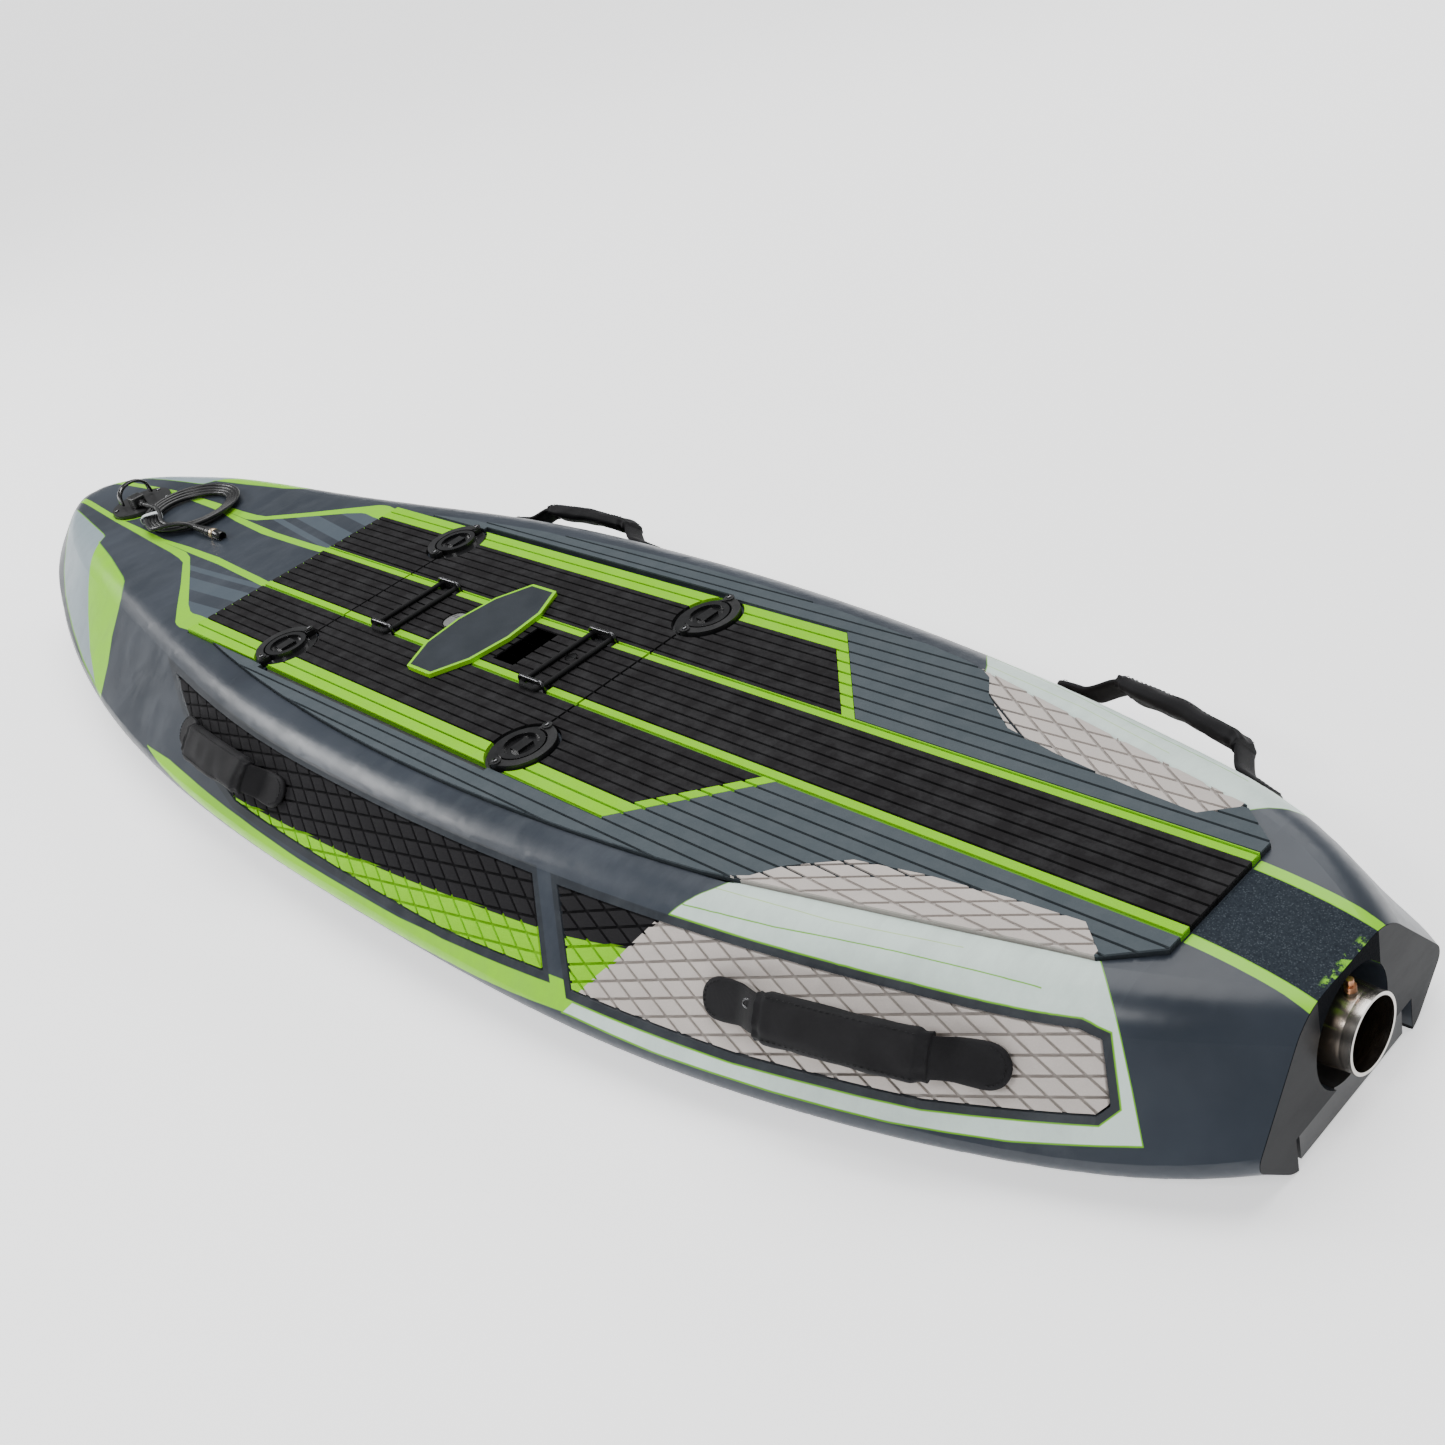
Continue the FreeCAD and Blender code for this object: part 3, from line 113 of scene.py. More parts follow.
class Paint:
    """One procedural material and the nodes that make it."""
    def __init__(self, name):
        self.material = bpy.data.materials.new(name)
        self.material.use_nodes = True
        self.tree = self.material.node_tree
        self.shader = self.tree.nodes["Principled BSDF"]

    def node(self, kind):
        return self.tree.nodes.new(kind)

    def feed(self, value, socket):
        if isinstance(value, Field):
            self.tree.links.new(value.socket, socket)
        elif isinstance(value, bpy.types.NodeSocket):
            self.tree.links.new(value, socket)
        else:
            socket.default_value = value

    def math(self, operation, *values, clamp=False):
        node = self.node("ShaderNodeMath")
        node.operation = operation
        node.use_clamp = clamp
        for value, socket in zip(values, node.inputs):
            self.feed(value, socket)
        return Field(self, node.outputs[0])

    def place(self):
        """x, y and z in millimetres on the piece at rest."""
        coords = self.node("ShaderNodeTexCoord")
        split = self.node("ShaderNodeSeparateXYZ")
        self.tree.links.new(coords.outputs["Object"], split.inputs[0])
        self.point = coords.outputs["Object"]
        return [Field(self, socket) * 1000.0 for socket in split.outputs]

    def where(self):
        if not hasattr(self, "point"):
            coords = self.node("ShaderNodeTexCoord")
            self.point = coords.outputs["Object"]
        return self.point

    def curve(self, x, points):
        """Straight-lined graph through the (x, y) points."""
        points = sorted(points)
        xs = [p[0] for p in points]
        ys = [p[1] for p in points]
        low, high = min(ys), max(ys)
        rise = max(high - low, 1e-6)
        node = self.node("ShaderNodeFloatCurve")
        line = node.mapping.curves[0]
        spots = [((a - xs[0]) / (xs[-1] - xs[0]), (b - low) / rise) for a, b in points]
        line.points[0].location = spots[0]
        line.points[1].location = spots[-1]
        for spot in spots[1:-1]:
            line.points.new(*spot)
        for spot in line.points:
            spot.handle_type = "VECTOR"
        node.mapping.update()
        share = self.math("MULTIPLY_ADD", x, 1.0 / (xs[-1] - xs[0]), -xs[0] / (xs[-1] - xs[0]),
                          clamp=True)
        self.feed(share, node.inputs["Value"])
        return self.math("MULTIPLY_ADD", Field(self, node.outputs[0]), rise, low)

    def inside(self, u, v, corners):
        """Distance in from the edges of a convex outline, in millimetres."""
        area = sum(a[0] * b[1] - b[0] * a[1]
                   for a, b in zip(corners, corners[1:] + corners[:1]))
        turn = 1.0 if area > 0 else -1.0
        result = None
        for a, b in zip(corners, corners[1:] + corners[:1]):
            run = math.hypot(b[0] - a[0], b[1] - a[1])
            across = (-(b[1] - a[1]) * turn / run, (b[0] - a[0]) * turn / run)
            offset = -(a[0] * across[0] + a[1] * across[1])
            edge = self.math("MULTIPLY_ADD", u, across[0],
                             self.math("MULTIPLY_ADD", v, across[1], offset))
            result = edge if result is None else result.least(edge)
        return result

    def grain(self, size, detail=3.0, rough=0.55, stretch=(1.0, 1.0, 1.0)):
        """Noise from 0 to 1 with lumps of about that many millimetres."""
        mapping = self.node("ShaderNodeMapping")
        mapping.inputs["Scale"].default_value = stretch
        self.tree.links.new(self.where(), mapping.inputs[0])
        node = self.node("ShaderNodeTexNoise")
        node.inputs["Scale"].default_value = 1000.0 / size
        node.inputs["Detail"].default_value = detail
        node.inputs["Roughness"].default_value = rough
        self.tree.links.new(mapping.outputs[0], node.inputs["Vector"])
        return Field(self, node.outputs["Fac"])

    def cells(self, size, stretch=(1.0, 1.0, 1.0)):
        mapping = self.node("ShaderNodeMapping")
        mapping.inputs["Scale"].default_value = stretch
        self.tree.links.new(self.where(), mapping.inputs[0])
        node = self.node("ShaderNodeTexVoronoi")
        node.inputs["Scale"].default_value = 1000.0 / size
        self.tree.links.new(mapping.outputs[0], node.inputs["Vector"])
        return Field(self, node.outputs["Distance"])

    def mix(self, share, first, second):
        node = self.node("ShaderNodeMix")
        node.data_type = "RGBA"
        self.feed(share, node.inputs["Factor"])
        for value, socket in ((first, node.inputs["A"]), (second, node.inputs["B"])):
            self.feed(value if not isinstance(value, tuple) else (*value, 1.0), socket)
        return node.outputs["Result"]

    def tint(self, share, dark, light):
        """Colour between two tones, led by a noise share."""
        spread = self.math("MULTIPLY_ADD", share, 2.2, -0.6, clamp=True)
        return self.mix(spread, dark, light)

    def times(self, first, second):
        """One colour multiplied by another."""
        node = self.node("ShaderNodeMix")
        node.data_type = "RGBA"
        node.blend_type = "MULTIPLY"
        node.inputs["Factor"].default_value = 1.0
        self.feed(first, node.inputs["A"])
        self.feed(second, node.inputs["B"])
        return node.outputs["Result"]

    def bump(self, height, depth, strength=1.0):
        node = self.node("ShaderNodeBump")
        node.inputs["Strength"].default_value = strength
        node.inputs["Distance"].default_value = depth * MM
        self.feed(height, node.inputs["Height"])
        if self.shader.inputs["Normal"].is_linked:
            self.tree.links.new(self.shader.inputs["Normal"].links[0].from_socket,
                                node.inputs["Normal"])
        self.tree.links.new(node.outputs[0], self.shader.inputs["Normal"])

    def done(self, colour, rough, metal=0.0, **extra):
        self.feed(colour if not isinstance(colour, tuple) else (*colour, 1.0),
                  self.shader.inputs["Base Color"])
        self.feed(rough, self.shader.inputs["Roughness"])
        self.feed(metal, self.shader.inputs["Metallic"])
        for name, value in extra.items():
            self.shader.inputs[name.replace("_", " ")].default_value = value
        return self.material


SLATE_DARK = (0.020, 0.026, 0.036)
SLATE_LIGHT = (0.038, 0.047, 0.062)
LIME = (0.255, 0.67, 0.0)
LIME_DEEP = (0.15, 0.46, 0.0)
MINT = (0.62, 0.75, 0.69)
PALE_BLUE = (0.27, 0.34, 0.375)
EVA_BLACK = (0.0160, 0.0150, 0.0160)
EVA_GREY = (0.074, 0.090, 0.101)
WARM_PALE = (0.56, 0.51, 0.475)

NOSE_FITTING_X = 778.0

# Outlines of the side recesses as (x, height), and of the pale foam patch as (x, y)
FRONT_PAD = [(330.0, 119.0), (-357.0, 117.0), (-399.0, 64.0), (-275.0, 62.0),
             (100.0, 69.0), (208.0, 86.0)]
REAR_PAD = [(-387.0, 116.0), (-830.0, 115.0), (-845.0, 110.0), (-857.0, 72.0),
            (-850.0, 65.0), (-740.0, 56.0), (-593.0, 54.0), (-432.0, 59.0)]
PATCH = [(-538, 150), (-551, 143), (-568, 121), (-610, 91), (-667, 79), (-735, 70),
         (-795, 65), (-818, 84), (-818, 200), (-538, 200)]


def hull_paint():
    """Painted shell: slate, lime lines, nose and shoulder patches, non-skid at the tail, and
    painted shade darkening the transom and underside.
    """
    paint = Paint("hull_paint")
    x, y, z = paint.place()
    side = abs(y)
    haze = paint.grain(140.0, 4.0)
    colour = paint.tint(haze, SLATE_DARK, SLATE_LIGHT)
    fine = paint.grain(9.0, 2.0)

    def lay(mask, tone):
        nonlocal colour
        colour = paint.mix(mask, colour, tone)

    # Lime lines and grey bars on the nose deck
    deck = z.over(100.0, 4.0)
    inner_low = paint.curve(x, [(366, 37), (400, 35), (508, 31), (579, 34.4), (639, 40),
                                (770, 38), (889, 25.8), (930, 22)])
    inner_high = paint.curve(x, [(366, 47), (400, 45), (490, 41.5), (563, 43.1), (626, 44.3),
                                 (640, 52.5), (656, 52.1), (770, 45.7), (896, 33.6), (930, 31)])
    outer_low = paint.curve(x, [(366, 122), (386, 122), (405, 124), (414, 122.6), (434, 114.4),
                                (468, 95.4), (518, 67.3), (552, 48.9), (571, 44.2), (640, 44.6)])
    outer_high = paint.curve(x, [(366, 147), (390, 149.5), (400, 148), (408, 145.4),
                                 (440, 126.6), (495, 92.3), (539, 66.5), (548, 61), (566, 57.4),
                                 (595, 54.7), (656, 52.1)])
    wedge = side.over(inner_high + 0.6) * side.under(outer_low) * x.between(372.4, 552.0) * deck
    bars = side - (x - 385.0) * 0.105
    for low, high in ((45.0, 53.5), (65.0, 85.0), (104.0, 124.0)):
        lay(wedge * bars.between(low, high, 0.8), (0.062, 0.082, 0.102))
    lay(side.between(inner_low, inner_high) * x.between(366.0, 928.0) * deck, LIME)
    lay(side.between(outer_low, outer_high) * x.between(366.0, 650.0) * deck, LIME)
    dashes = (side + 1.0).bar(10.5, 0.78)
    lay(x.between(368.8, 371.9) * side.under(124.0) * dashes * deck, LIME)
    ahead = x - NOSE_FITTING_X
    off = paint.math("SQRT", ahead * ahead + y * y)
    lay(off.between(39.0, 43.5) * deck * x.under(806.0), LIME)

    # Pale and lime patches on the nose flanks
    patch_in = paint.curve(x, [(514, 236), (529, 205), (547, 180), (556, 155), (563, 144),
                               (585, 126), (598, 121), (668, 103), (731, 89.5), (742, 76),
                               (752, 73.3), (815, 63), (888, 50), (935, 40), (950, 30)])
    patch_mid = paint.curve(x, [(514, 236), (549.5, 222), (603, 195.9), (650, 165), (677, 143.9),
                                (709, 112.4), (731, 89)])
    patch_low = paint.curve(x, [(514, 58), (543, 62.6), (613, 69.3), (687, 80.9), (771, 96.7),
                                (817, 109.7), (869.5, 131), (930, 146)])
    flank = side.over(patch_in) * z.over(patch_low) * x.over(514.0)
    trim = side.over(patch_in - 1.2) * z.over(patch_low - 1.8) * x.between(512.0, 900.0)
    lay(trim, LIME_DEEP)
    lay(flank, PALE_BLUE)
    lay(flank * side.under(patch_mid) * x.under(735.0), LIME)

    # Mint paint over the aft shoulders, and the lime stripe along the rail
    front = paint.curve(side, [(80, -640), (130, -560), (150, -540), (162, -533), (182, -515.4),
                               (194, -504.6), (210.5, -485), (238.8, -456.7), (262.5, -434.8),
                               (290, -408)])
    rear = paint.curve(side, [(70, -803), (87.3, -821), (102.8, -837.4), (118.2, -854),
                              (129.7, -866), (143, -878.8), (150, -887)])
    low = paint.curve(x, [(-900, 54), (-878, 51.3), (-801, 43), (-722, 40), (-630, 39.5),
                          (-526, 41.5), (-435, 46), (-331, 43.6), (-200, 43), (0, 45),
                          (200, 50), (287, 54.5), (335, 59)])
    mint = x.under(front) * x.over(rear) * z.over(low)
    lay(mint, MINT)
    edge = x.under(front + 0.8) * x.over(rear - 1.1) * z.over(low - 1.0)
    rim = paint.math("SUBTRACT", edge, mint, clamp=True)
    lay(rim * x.under(-410.0), LIME_DEEP)
    line = paint.curve(x, [(-799, 121.8), (-692, 144.3), (-598, 167), (-516, 182.6)])
    lay(mint * side.between(line, line + 0.9) * z.over(110.0) * x.over(-800.0), LIME_DEEP)
    line = paint.curve(x, [(-790, 104), (-736, 120.8), (-638, 144.7), (-533, 162)])
    lay(mint * side.between(line, line + 0.7) * z.over(110.0) * x.over(-736.0), (0.42, 0.62, 0.2))
    stripe_top = paint.curve(x, [(-436, 64), (-395, 63.9), (-324, 59.2), (-213, 56.4),
                                 (-43, 57.6), (82, 60.8), (208, 62.8), (267, 63), (332, 59.6)])
    stripe = z.between(low, stripe_top) * x.between(-520.0, 335.0) * x.over(front)
    lay(stripe, LIME)

    # Dark borders round the side recesses
    front_in = paint.inside(x, z, FRONT_PAD)
    rear_in = paint.inside(x, z, REAR_PAD)
    near_side = side.over(60.0)
    lay(rear_in.over(-6.0) * near_side * mint, LIME_DEEP)
    lay(front_in.most(rear_in).over(-5.0) * near_side, (0.020, 0.024, 0.030))

    # Non-skid strip and lines aft of the pads
    tail = x.under(-856.0) * z.over(90.0)
    specks = paint.cells(1.5).under(0.34, 0.2) * paint.grain(3.0).over(0.48, 0.25)
    strip = tail * side.under(37.0)
    mottle = paint.grain(2.4, 4.0, 0.7)
    lay(strip, paint.tint(mottle, (0.010, 0.0145, 0.021), (0.026, 0.034, 0.044)))
    lay(strip * specks, (0.055, 0.068, 0.080))
    lay(tail * side.between(36.5, 46.0), LIME)
    worn = paint.grain(9.0, 5.0, 0.7).over(0.5, 0.06)
    lay(strip * x.under(-936.5, 2.0) * side.under(24.0, 8.0) * worn, (0.20, 0.50, 0.03))
    # Painted shade: the transom and the underside face away from the lamps, so they are painted
    # near-black and their gloss is cut below.
    shaded_shell_ends = x.under(-941.6, 0.2).most(z.under(3.0))
    lay(shaded_shell_ends, (0.0050, 0.0058, 0.0075))

    scuffs = paint.grain(30.0, 6.0, 0.72, (1.0, 0.35, 1.0)).over(0.56, 0.25)
    lay(scuffs * 0.16 * x.between(-850.0, -100.0).most(x.over(300.0)), (0.10, 0.115, 0.13))
    rough = paint.math("MULTIPLY_ADD", haze, 0.14, 0.24)
    rough = rough + mint * 0.10 + strip * 0.40 + scuffs * 0.08
    paint.bump(paint.grain(1.6, 2.0) * strip, 0.5)
    paint.bump(fine * (1.0 - strip), 0.02, 0.35)
    gloss = (0.36 - strip * 0.26) * (1.0 - shaded_shell_ends * 0.86)
    paint.feed(gloss, paint.shader.inputs["Specular IOR Level"])
    return paint.done(colour, rough)


def foam(name, tone, patch=None):
    """Closed-cell foam sheet: fine mottled grain, dull, with a second tone inside patch."""
    paint = Paint(name)
    x, y, z = paint.place()
    broad = paint.grain(60.0, 3.0)
    fine = paint.grain(1.1, 4.0, 0.7)
    dust = paint.grain(24.0, 6.0, 0.75)
    shade = paint.tint(broad * 0.4 + fine * 0.6, (0.80, 0.80, 0.80), (1.0, 1.0, 1.0))
    base = (*tone, 1.0)
    if patch:
        mask = paint.inside(x, abs(y), patch[0]).over(0.0)
        base = paint.mix(mask, tone, patch[1])
    colour = paint.times(base, shade)
    veil = dust.over(0.58, 0.3) * 0.05
    colour = paint.mix(veil, colour, (0.35, 0.36, 0.37))
    paint.bump(fine, 0.25, 0.7)
    paint.bump(paint.grain(7.0, 2.0), 0.25, 0.4)
    rough = paint.math("MULTIPLY_ADD", fine, 0.16, 0.78)
    return paint.done(colour, rough, Specular_IOR_Level=0.07)


def side_foam(name, strength=1.0):
    """Side pads: black above, lime below, warm pale aft of a slanted edge; a strength under 1
    darkens it all as painted shade.
    """
    paint = Paint(name)
    x, y, z = paint.place()
    side = abs(y)
    fine = paint.grain(1.1, 4.0, 0.7)
    broad = paint.grain(50.0, 3.0)
    lime_top = paint.curve(x, [(-500, 96), (-408, 88.5), (-385, 87.7), (-268, 83.8),
                               (-117, 77.5), (91, 72.0), (160, 70), (340, 60)])
    colour = paint.mix(z.under(lime_top), (0.016, 0.0155, 0.017), LIME)
    front = paint.curve(side, [(183, -511.5), (199, -494.7), (213, -480.7), (228, -466.7),
                               (243, -450.3), (262, -432)])
    colour = paint.mix(x.under(front), colour, WARM_PALE)
    # A strength under 1 is painted shade, used for the groove floors.
    low, high = 0.80 * strength, strength
    colour = paint.times(colour, paint.tint(broad * 0.4 + fine * 0.6, (low, low, low),
                                            (high, high, high)))
    paint.bump(fine, 0.25, 0.7)
    rough = paint.math("MULTIPLY_ADD", fine, 0.16, 0.72)
    return paint.done(colour, rough, Specular_IOR_Level=0.10)


def plastic(name, tone, rough=0.42, grain=0.9):
    """Moulded nylon: slight texture, scuffed tone."""
    paint = Paint(name)
    fine = paint.grain(grain, 3.0)
    scuff = paint.grain(18.0, 5.0, 0.7)
    colour = paint.tint(scuff, tone, tuple(c * 1.7 + 0.006 for c in tone))
    paint.bump(fine, 0.05, 0.6)
    return paint.done(colour, paint.math("MULTIPLY_ADD", scuff, 0.22, rough - 0.1))


def metal(name, tone, rough=0.28, stretch=(1.0, 14.0, 14.0), heat=None):
    """Brushed metal, with an optional heat tint led by x."""
    paint = Paint(name)
    x, y, z = paint.place()
    lines = paint.grain(6.0, 4.0, 0.65, stretch)
    blotch = paint.grain(22.0, 3.0)
    colour = paint.tint(blotch * 0.5 + lines * 0.5, tuple(c * 0.72 for c in tone), tone)
    if heat:
        near = x.between(heat[0], heat[1], 14.0)
        colour = paint.mix(near * (blotch + 0.15), colour, heat[2])
    paint.bump(lines, 0.04, 0.5)
    return paint.done(colour, paint.math("MULTIPLY_ADD", lines, 0.2, rough - 0.08), 1.0)


def woven(name, tone, size=0.9, rough=0.82, sheen=0.25):
    """Fine knitted or woven face of a fabric."""
    paint = Paint(name)
    x, y, z = paint.place()
    per_stitch = 6.283 / size
    weave = (paint.math("SINE", (x + z * 0.7) * per_stitch)
             * paint.math("SINE", (y + z * 0.7) * per_stitch))
    lint = paint.grain(2.2, 5.0, 0.7)
    folds = paint.grain(26.0, 3.0)
    colour = paint.tint(lint * 0.4 + folds * 0.6, tone, tuple(c * 1.9 + 0.004 for c in tone))
    paint.bump(weave, 0.08, 0.5)
    paint.bump(folds, 1.2, 0.25)
    return paint.done(colour, paint.math("MULTIPLY_ADD", lint, 0.14, rough - 0.07),
                      Sheen_Weight=sheen, Sheen_Roughness=0.4, Specular_IOR_Level=0.2)


M = {
    "hull": hull_paint(),
    "foam_black": foam("foam_black", EVA_BLACK),
    "foam_grey": foam("foam_grey", EVA_GREY),
    "foam_lime": foam("foam_lime", LIME),
    "foam_pale": foam("foam_pale", WARM_PALE),
    # Groove floors: each is painted darker than its foam top, the pale patch's floor too, as
    # painted shade in the grooves.
    "groove": foam("foam_groove", (0.004, 0.004, 0.0045)),
    "groove_grey": foam("foam_groove_grey", (0.030, 0.037, 0.043), (PATCH, (0.42, 0.385, 0.36))),
    "groove_lime": foam("foam_groove_lime", (0.12, 0.34, 0.010)),
    "side": side_foam("side_foam"),
    # The side groove floor is the side foam painted at 0.70 brightness: painted shade in the
    # grooves.
    "groove_side": side_foam("side_foam_groove", 0.70),
    "black": plastic("black_nylon", (0.0055, 0.0055, 0.006), 0.36),
    "glossy": plastic("gloss_nylon", (0.0045, 0.0045, 0.005), 0.20),
    "pump": plastic("pump_plastic", (0.0075, 0.0085, 0.0105), 0.46),
    "case": plastic("case_plastic", (0.016, 0.016, 0.018), 0.5),
    "grip": plastic("grip_plastic", (0.085, 0.115, 0.135), 0.4),
    "jacket": plastic("cord_jacket", (0.0035, 0.0035, 0.004), 0.36, 0.3),
    "steel": metal("pipe_steel", (0.60, 0.57, 0.53), 0.20, (3.0, 0.4, 0.4),
                   (-948.0, -915.0, (0.42, 0.28, 0.16))),
    "shaft": metal("ground_steel", (0.68, 0.68, 0.69), 0.2),
    "cast": metal("cast_alloy", (0.55, 0.56, 0.58), 0.42, (1.0, 1.0, 1.0)),
    "bolt": metal("bolt_copper", (0.72, 0.36, 0.20), 0.3),
    "ring": metal("ring_metal", (0.10, 0.10, 0.105), 0.26, (1.0, 1.0, 1.0)),
    "screw": metal("screw_steel", (0.16, 0.16, 0.165), 0.24, (1.0, 1.0, 1.0)),
    "cap": metal("cap_metal", (0.66, 0.66, 0.65), 0.3, (1.0, 20.0, 1.0)),
    "gold": metal("collar_gold", (0.78, 0.60, 0.40), 0.3),
    "neoprene": woven("neoprene", (0.0032, 0.0030, 0.0038), 0.8, 0.66, 0.0),
    "shock": woven("shock_cord", (0.0045, 0.0045, 0.005), 1.3, 0.8, 0.03),
    "tie": woven("tie_fabric", (0.42, 0.44, 0.45), 1.1, 0.8, 0.05),
}


def emblem_paint():
    """Slate plate with a lime border, left blank."""
    paint = Paint("emblem_paint")
    x, y, z = paint.place()
    outline = [(-17 + a, b) for a, b in ((20, -83), (40, -46), (46, 0), (40, 46), (20, 83),
                                         (-20, 83), (-40, 46), (-46, 0), (-40, -46), (-20, -83))]
    depth = paint.inside(x, y, outline)
    haze = paint.grain(40.0, 3.0)
    colour = paint.mix(depth.over(3.4), LIME,
                       paint.tint(haze, (0.018, 0.0225, 0.029), (0.028, 0.034, 0.042)))
    paint.bump(depth.over(3.4, 1.0), 0.6, 0.5)
    rough = paint.math("MULTIPLY_ADD", haze, 0.15, 0.30)
    return paint.done(colour, rough, Specular_IOR_Level=0.25)


M["emblem"] = emblem_paint()


# Small helpers for pieces
def dress(thing, material, smooth=True):
    thing.data.materials.clear()
    thing.data.materials.append(material)
    if smooth and thing.type == "MESH":
        thing.data.polygons.foreach_set("use_smooth", [True] * len(thing.data.polygons))
    return thing


def piece(name, mesh, body, material, replaced=(), smooth=False):
    """Adds a mesh as a piece that rides on a body and may stand for CAD nodes."""
    thing = bpy.data.objects.new(name, mesh)
    bpy.context.scene.collection.objects.link(thing)
    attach(thing, body)
    dress(thing, material, smooth)
    if replaced:
        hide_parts(*replaced)
    return thing


def from_bm(name, bm):
    mesh = bpy.data.meshes.new(name)
    bm.to_mesh(mesh)
    bm.free()
    return mesh


def bevel(thing, width, segments=2, limit=35.0):
    """Rounds the edges sharper than limit, by width in millimetres."""
    mod = thing.modifiers.new("bevel", "BEVEL")
    mod.width = width * MM
    mod.segments = segments
    mod.limit_method = "ANGLE"
    mod.angle_limit = math.radians(limit)
    mod.harden_normals = False
    return thing


def solid_of(node):
    """The node's mesh with its shared corners joined."""
    bm = bmesh.new()
    bm.from_mesh(NODES[node].data)
    bmesh.ops.remove_doubles(bm, verts=bm.verts, dist=2e-6)
    bmesh.ops.dissolve_limit(bm, angle_limit=0.01, verts=bm.verts, edges=bm.edges)
    return bm


def keep_side(bm, point, normal):
    """Cuts the solid on a plane, keeps what is ahead of the normal and closes the cut."""
    if not bm.verts:
        return bm
    made = bmesh.ops.bisect_plane(
        bm, geom=bm.verts[:] + bm.edges[:] + bm.faces[:], dist=1e-7,
        plane_co=point, plane_no=normal, clear_inner=True, clear_outer=False)
    edges = [e for e in made["geom_cut"] if isinstance(e, bmesh.types.BMEdge) and e.is_valid]
    if edges:
        bmesh.ops.holes_fill(bm, edges=edges, sides=0)
    return bm


def slab(bm, axis, low, high):
    """A copy of the solid between two distances along a direction, in millimetres."""
    axis = Vector(axis)
    part = bm.copy()
    keep_side(part, axis * (low * MM), axis)
    keep_side(part, axis * (high * MM), -axis)
    return part


def gather(parts):
    """Joins the parts into one mesh and frees them."""
    whole = bmesh.new()
    for part in parts:
        if part.faces:
            mesh = bpy.data.meshes.new("part")
            part.to_mesh(mesh)
            whole.from_mesh(mesh)
            bpy.data.meshes.remove(mesh)
        part.free()
    return whole


def cells(bm, families):
    """Cuts the solid into tiles between families of parallel grooves: axis, pitch, shift."""
    parts = [bm]
    for axis, pitch, shift in families:
        cut = []
        for part in parts:
            ahead = [v.co.dot(Vector(axis)) * 1000 for v in part.verts]
            if not ahead:
                part.free()
                continue
            first = math.floor((min(ahead) - shift) / pitch)
            last = math.ceil((max(ahead) - shift) / pitch)
            for k in range(first, last):
                cut.append(slab(part, axis, shift + k * pitch + GROOVE / 2,
                                shift + (k + 1) * pitch - GROOVE / 2))
            part.free()
        parts = [p for p in cut if p.faces]
    return gather(parts)


GROOVE = 2.2
GROOVE_DEPTH = 1.8
PAD_TOP = 140.5
UP = (0.0, 0.0, 1.0)
BLACK_PITCH = 11.0
WIDE_PITCH = 13.0
PAD_SHIFT = 47.0
LIME_SHIFT = 46.0
PATCH_GROOVES = ((177.4, 13.8), (-150.0, 14.4))
SIDE_GROOVES = ((-12.7, 13.5), (33.2, 14.7))


def ledge_cut(bm, outline, inside):
    """What of the solid is inside or outside an upright prism over the outline."""
    block = bmesh.new()
    low = [block.verts.new((a * MM, b * MM, 0.12)) for a, b in outline]
    high = [block.verts.new((a * MM, b * MM, 0.16)) for a, b in outline]
    block.faces.new(low[::-1])
    block.faces.new(high)
    for i in range(len(low)):
        j = (i + 1) % len(low)
        block.faces.new((low[i], low[j], high[j], high[i]))
    bmesh.ops.recalc_face_normals(block, faces=block.faces)
    tool = bpy.data.objects.new("tool", from_bm("tool", block))
    target = bpy.data.objects.new("target", from_bm("target", bm.copy()))
    for thing in (tool, target):
        bpy.context.scene.collection.objects.link(thing)
    mod = target.modifiers.new("cut", "BOOLEAN")
    mod.operation = "INTERSECT" if inside else "DIFFERENCE"
    mod.object = tool
    mod.solver = "EXACT"
    bpy.context.view_layer.update()
    ready = target.evaluated_get(bpy.context.evaluated_depsgraph_get())
    made = bmesh.new()
    made.from_mesh(ready.to_mesh())
    for thing in (tool, target):
        bpy.data.objects.remove(thing)
    return made


def foam_pad(node, body, top, low, pitch=BLACK_PITCH, shift=PAD_SHIFT, patch=None):
    """A deck pad with real lengthwise grooves over a floor painted darker as painted shade; patch
    is (outline, sign).
    """
    source = solid_of(node)
    floor = PAD_TOP - GROOVE_DEPTH
    base = keep_side(source.copy(), Vector(UP) * (floor * MM), (0.0, 0.0, -1.0))
    lid = keep_side(source.copy(), Vector(UP) * (floor * MM), UP)
    source.free()
    made = []
    if patch:
        outline, sign = patch
        tiles = ledge_cut(lid, outline, True)
        lid = ledge_cut(lid, outline, False)
        families = []
        for angle, gap in PATCH_GROOVES:
            turn = math.radians(angle)
            families.append(((-math.sin(turn), math.cos(turn) * sign, 0.0), gap, 0.0))
        tiles = cells(tiles, families)
        patch_piece = piece(node + "_patch", from_bm(node + "_patch", tiles), body,
                            M["foam_pale"])
        made.append(bevel(patch_piece, 0.9))
    strips = cells(lid, [((0.0, 1.0, 0.0), pitch, shift)])
    made.append(bevel(piece(node + "_strips", from_bm(node + "_strips", strips), body, top),
                      0.8))
    ground = piece(node + "_floor", from_bm(node + "_floor", base), body, low)
    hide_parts(node)
    for thing in made:
        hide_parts(node)
    return made + [ground]


foam_pad("front_pad", "board", M["foam_black"], M["groove"])
foam_pad("aft_pad", "board", M["foam_black"], M["groove"])
foam_pad("lid_pad", "lid", M["foam_black"], M["groove"])
for tag, sign in SIDES:
    outline = [(a, b * sign) for a, b in PATCH]
    foam_pad("grey_pad_" + tag, "board", M["foam_grey"], M["groove_grey"],
             WIDE_PITCH, PAD_SHIFT * sign, (outline[::sign], sign))
for name, body in (("lime_front", "board"), ("lime_aft", "board"), ("lime_lid", "lid")):
    foam_pad(name, body, M["foam_lime"], M["groove_lime"], WIDE_PITCH, LIME_SHIFT)


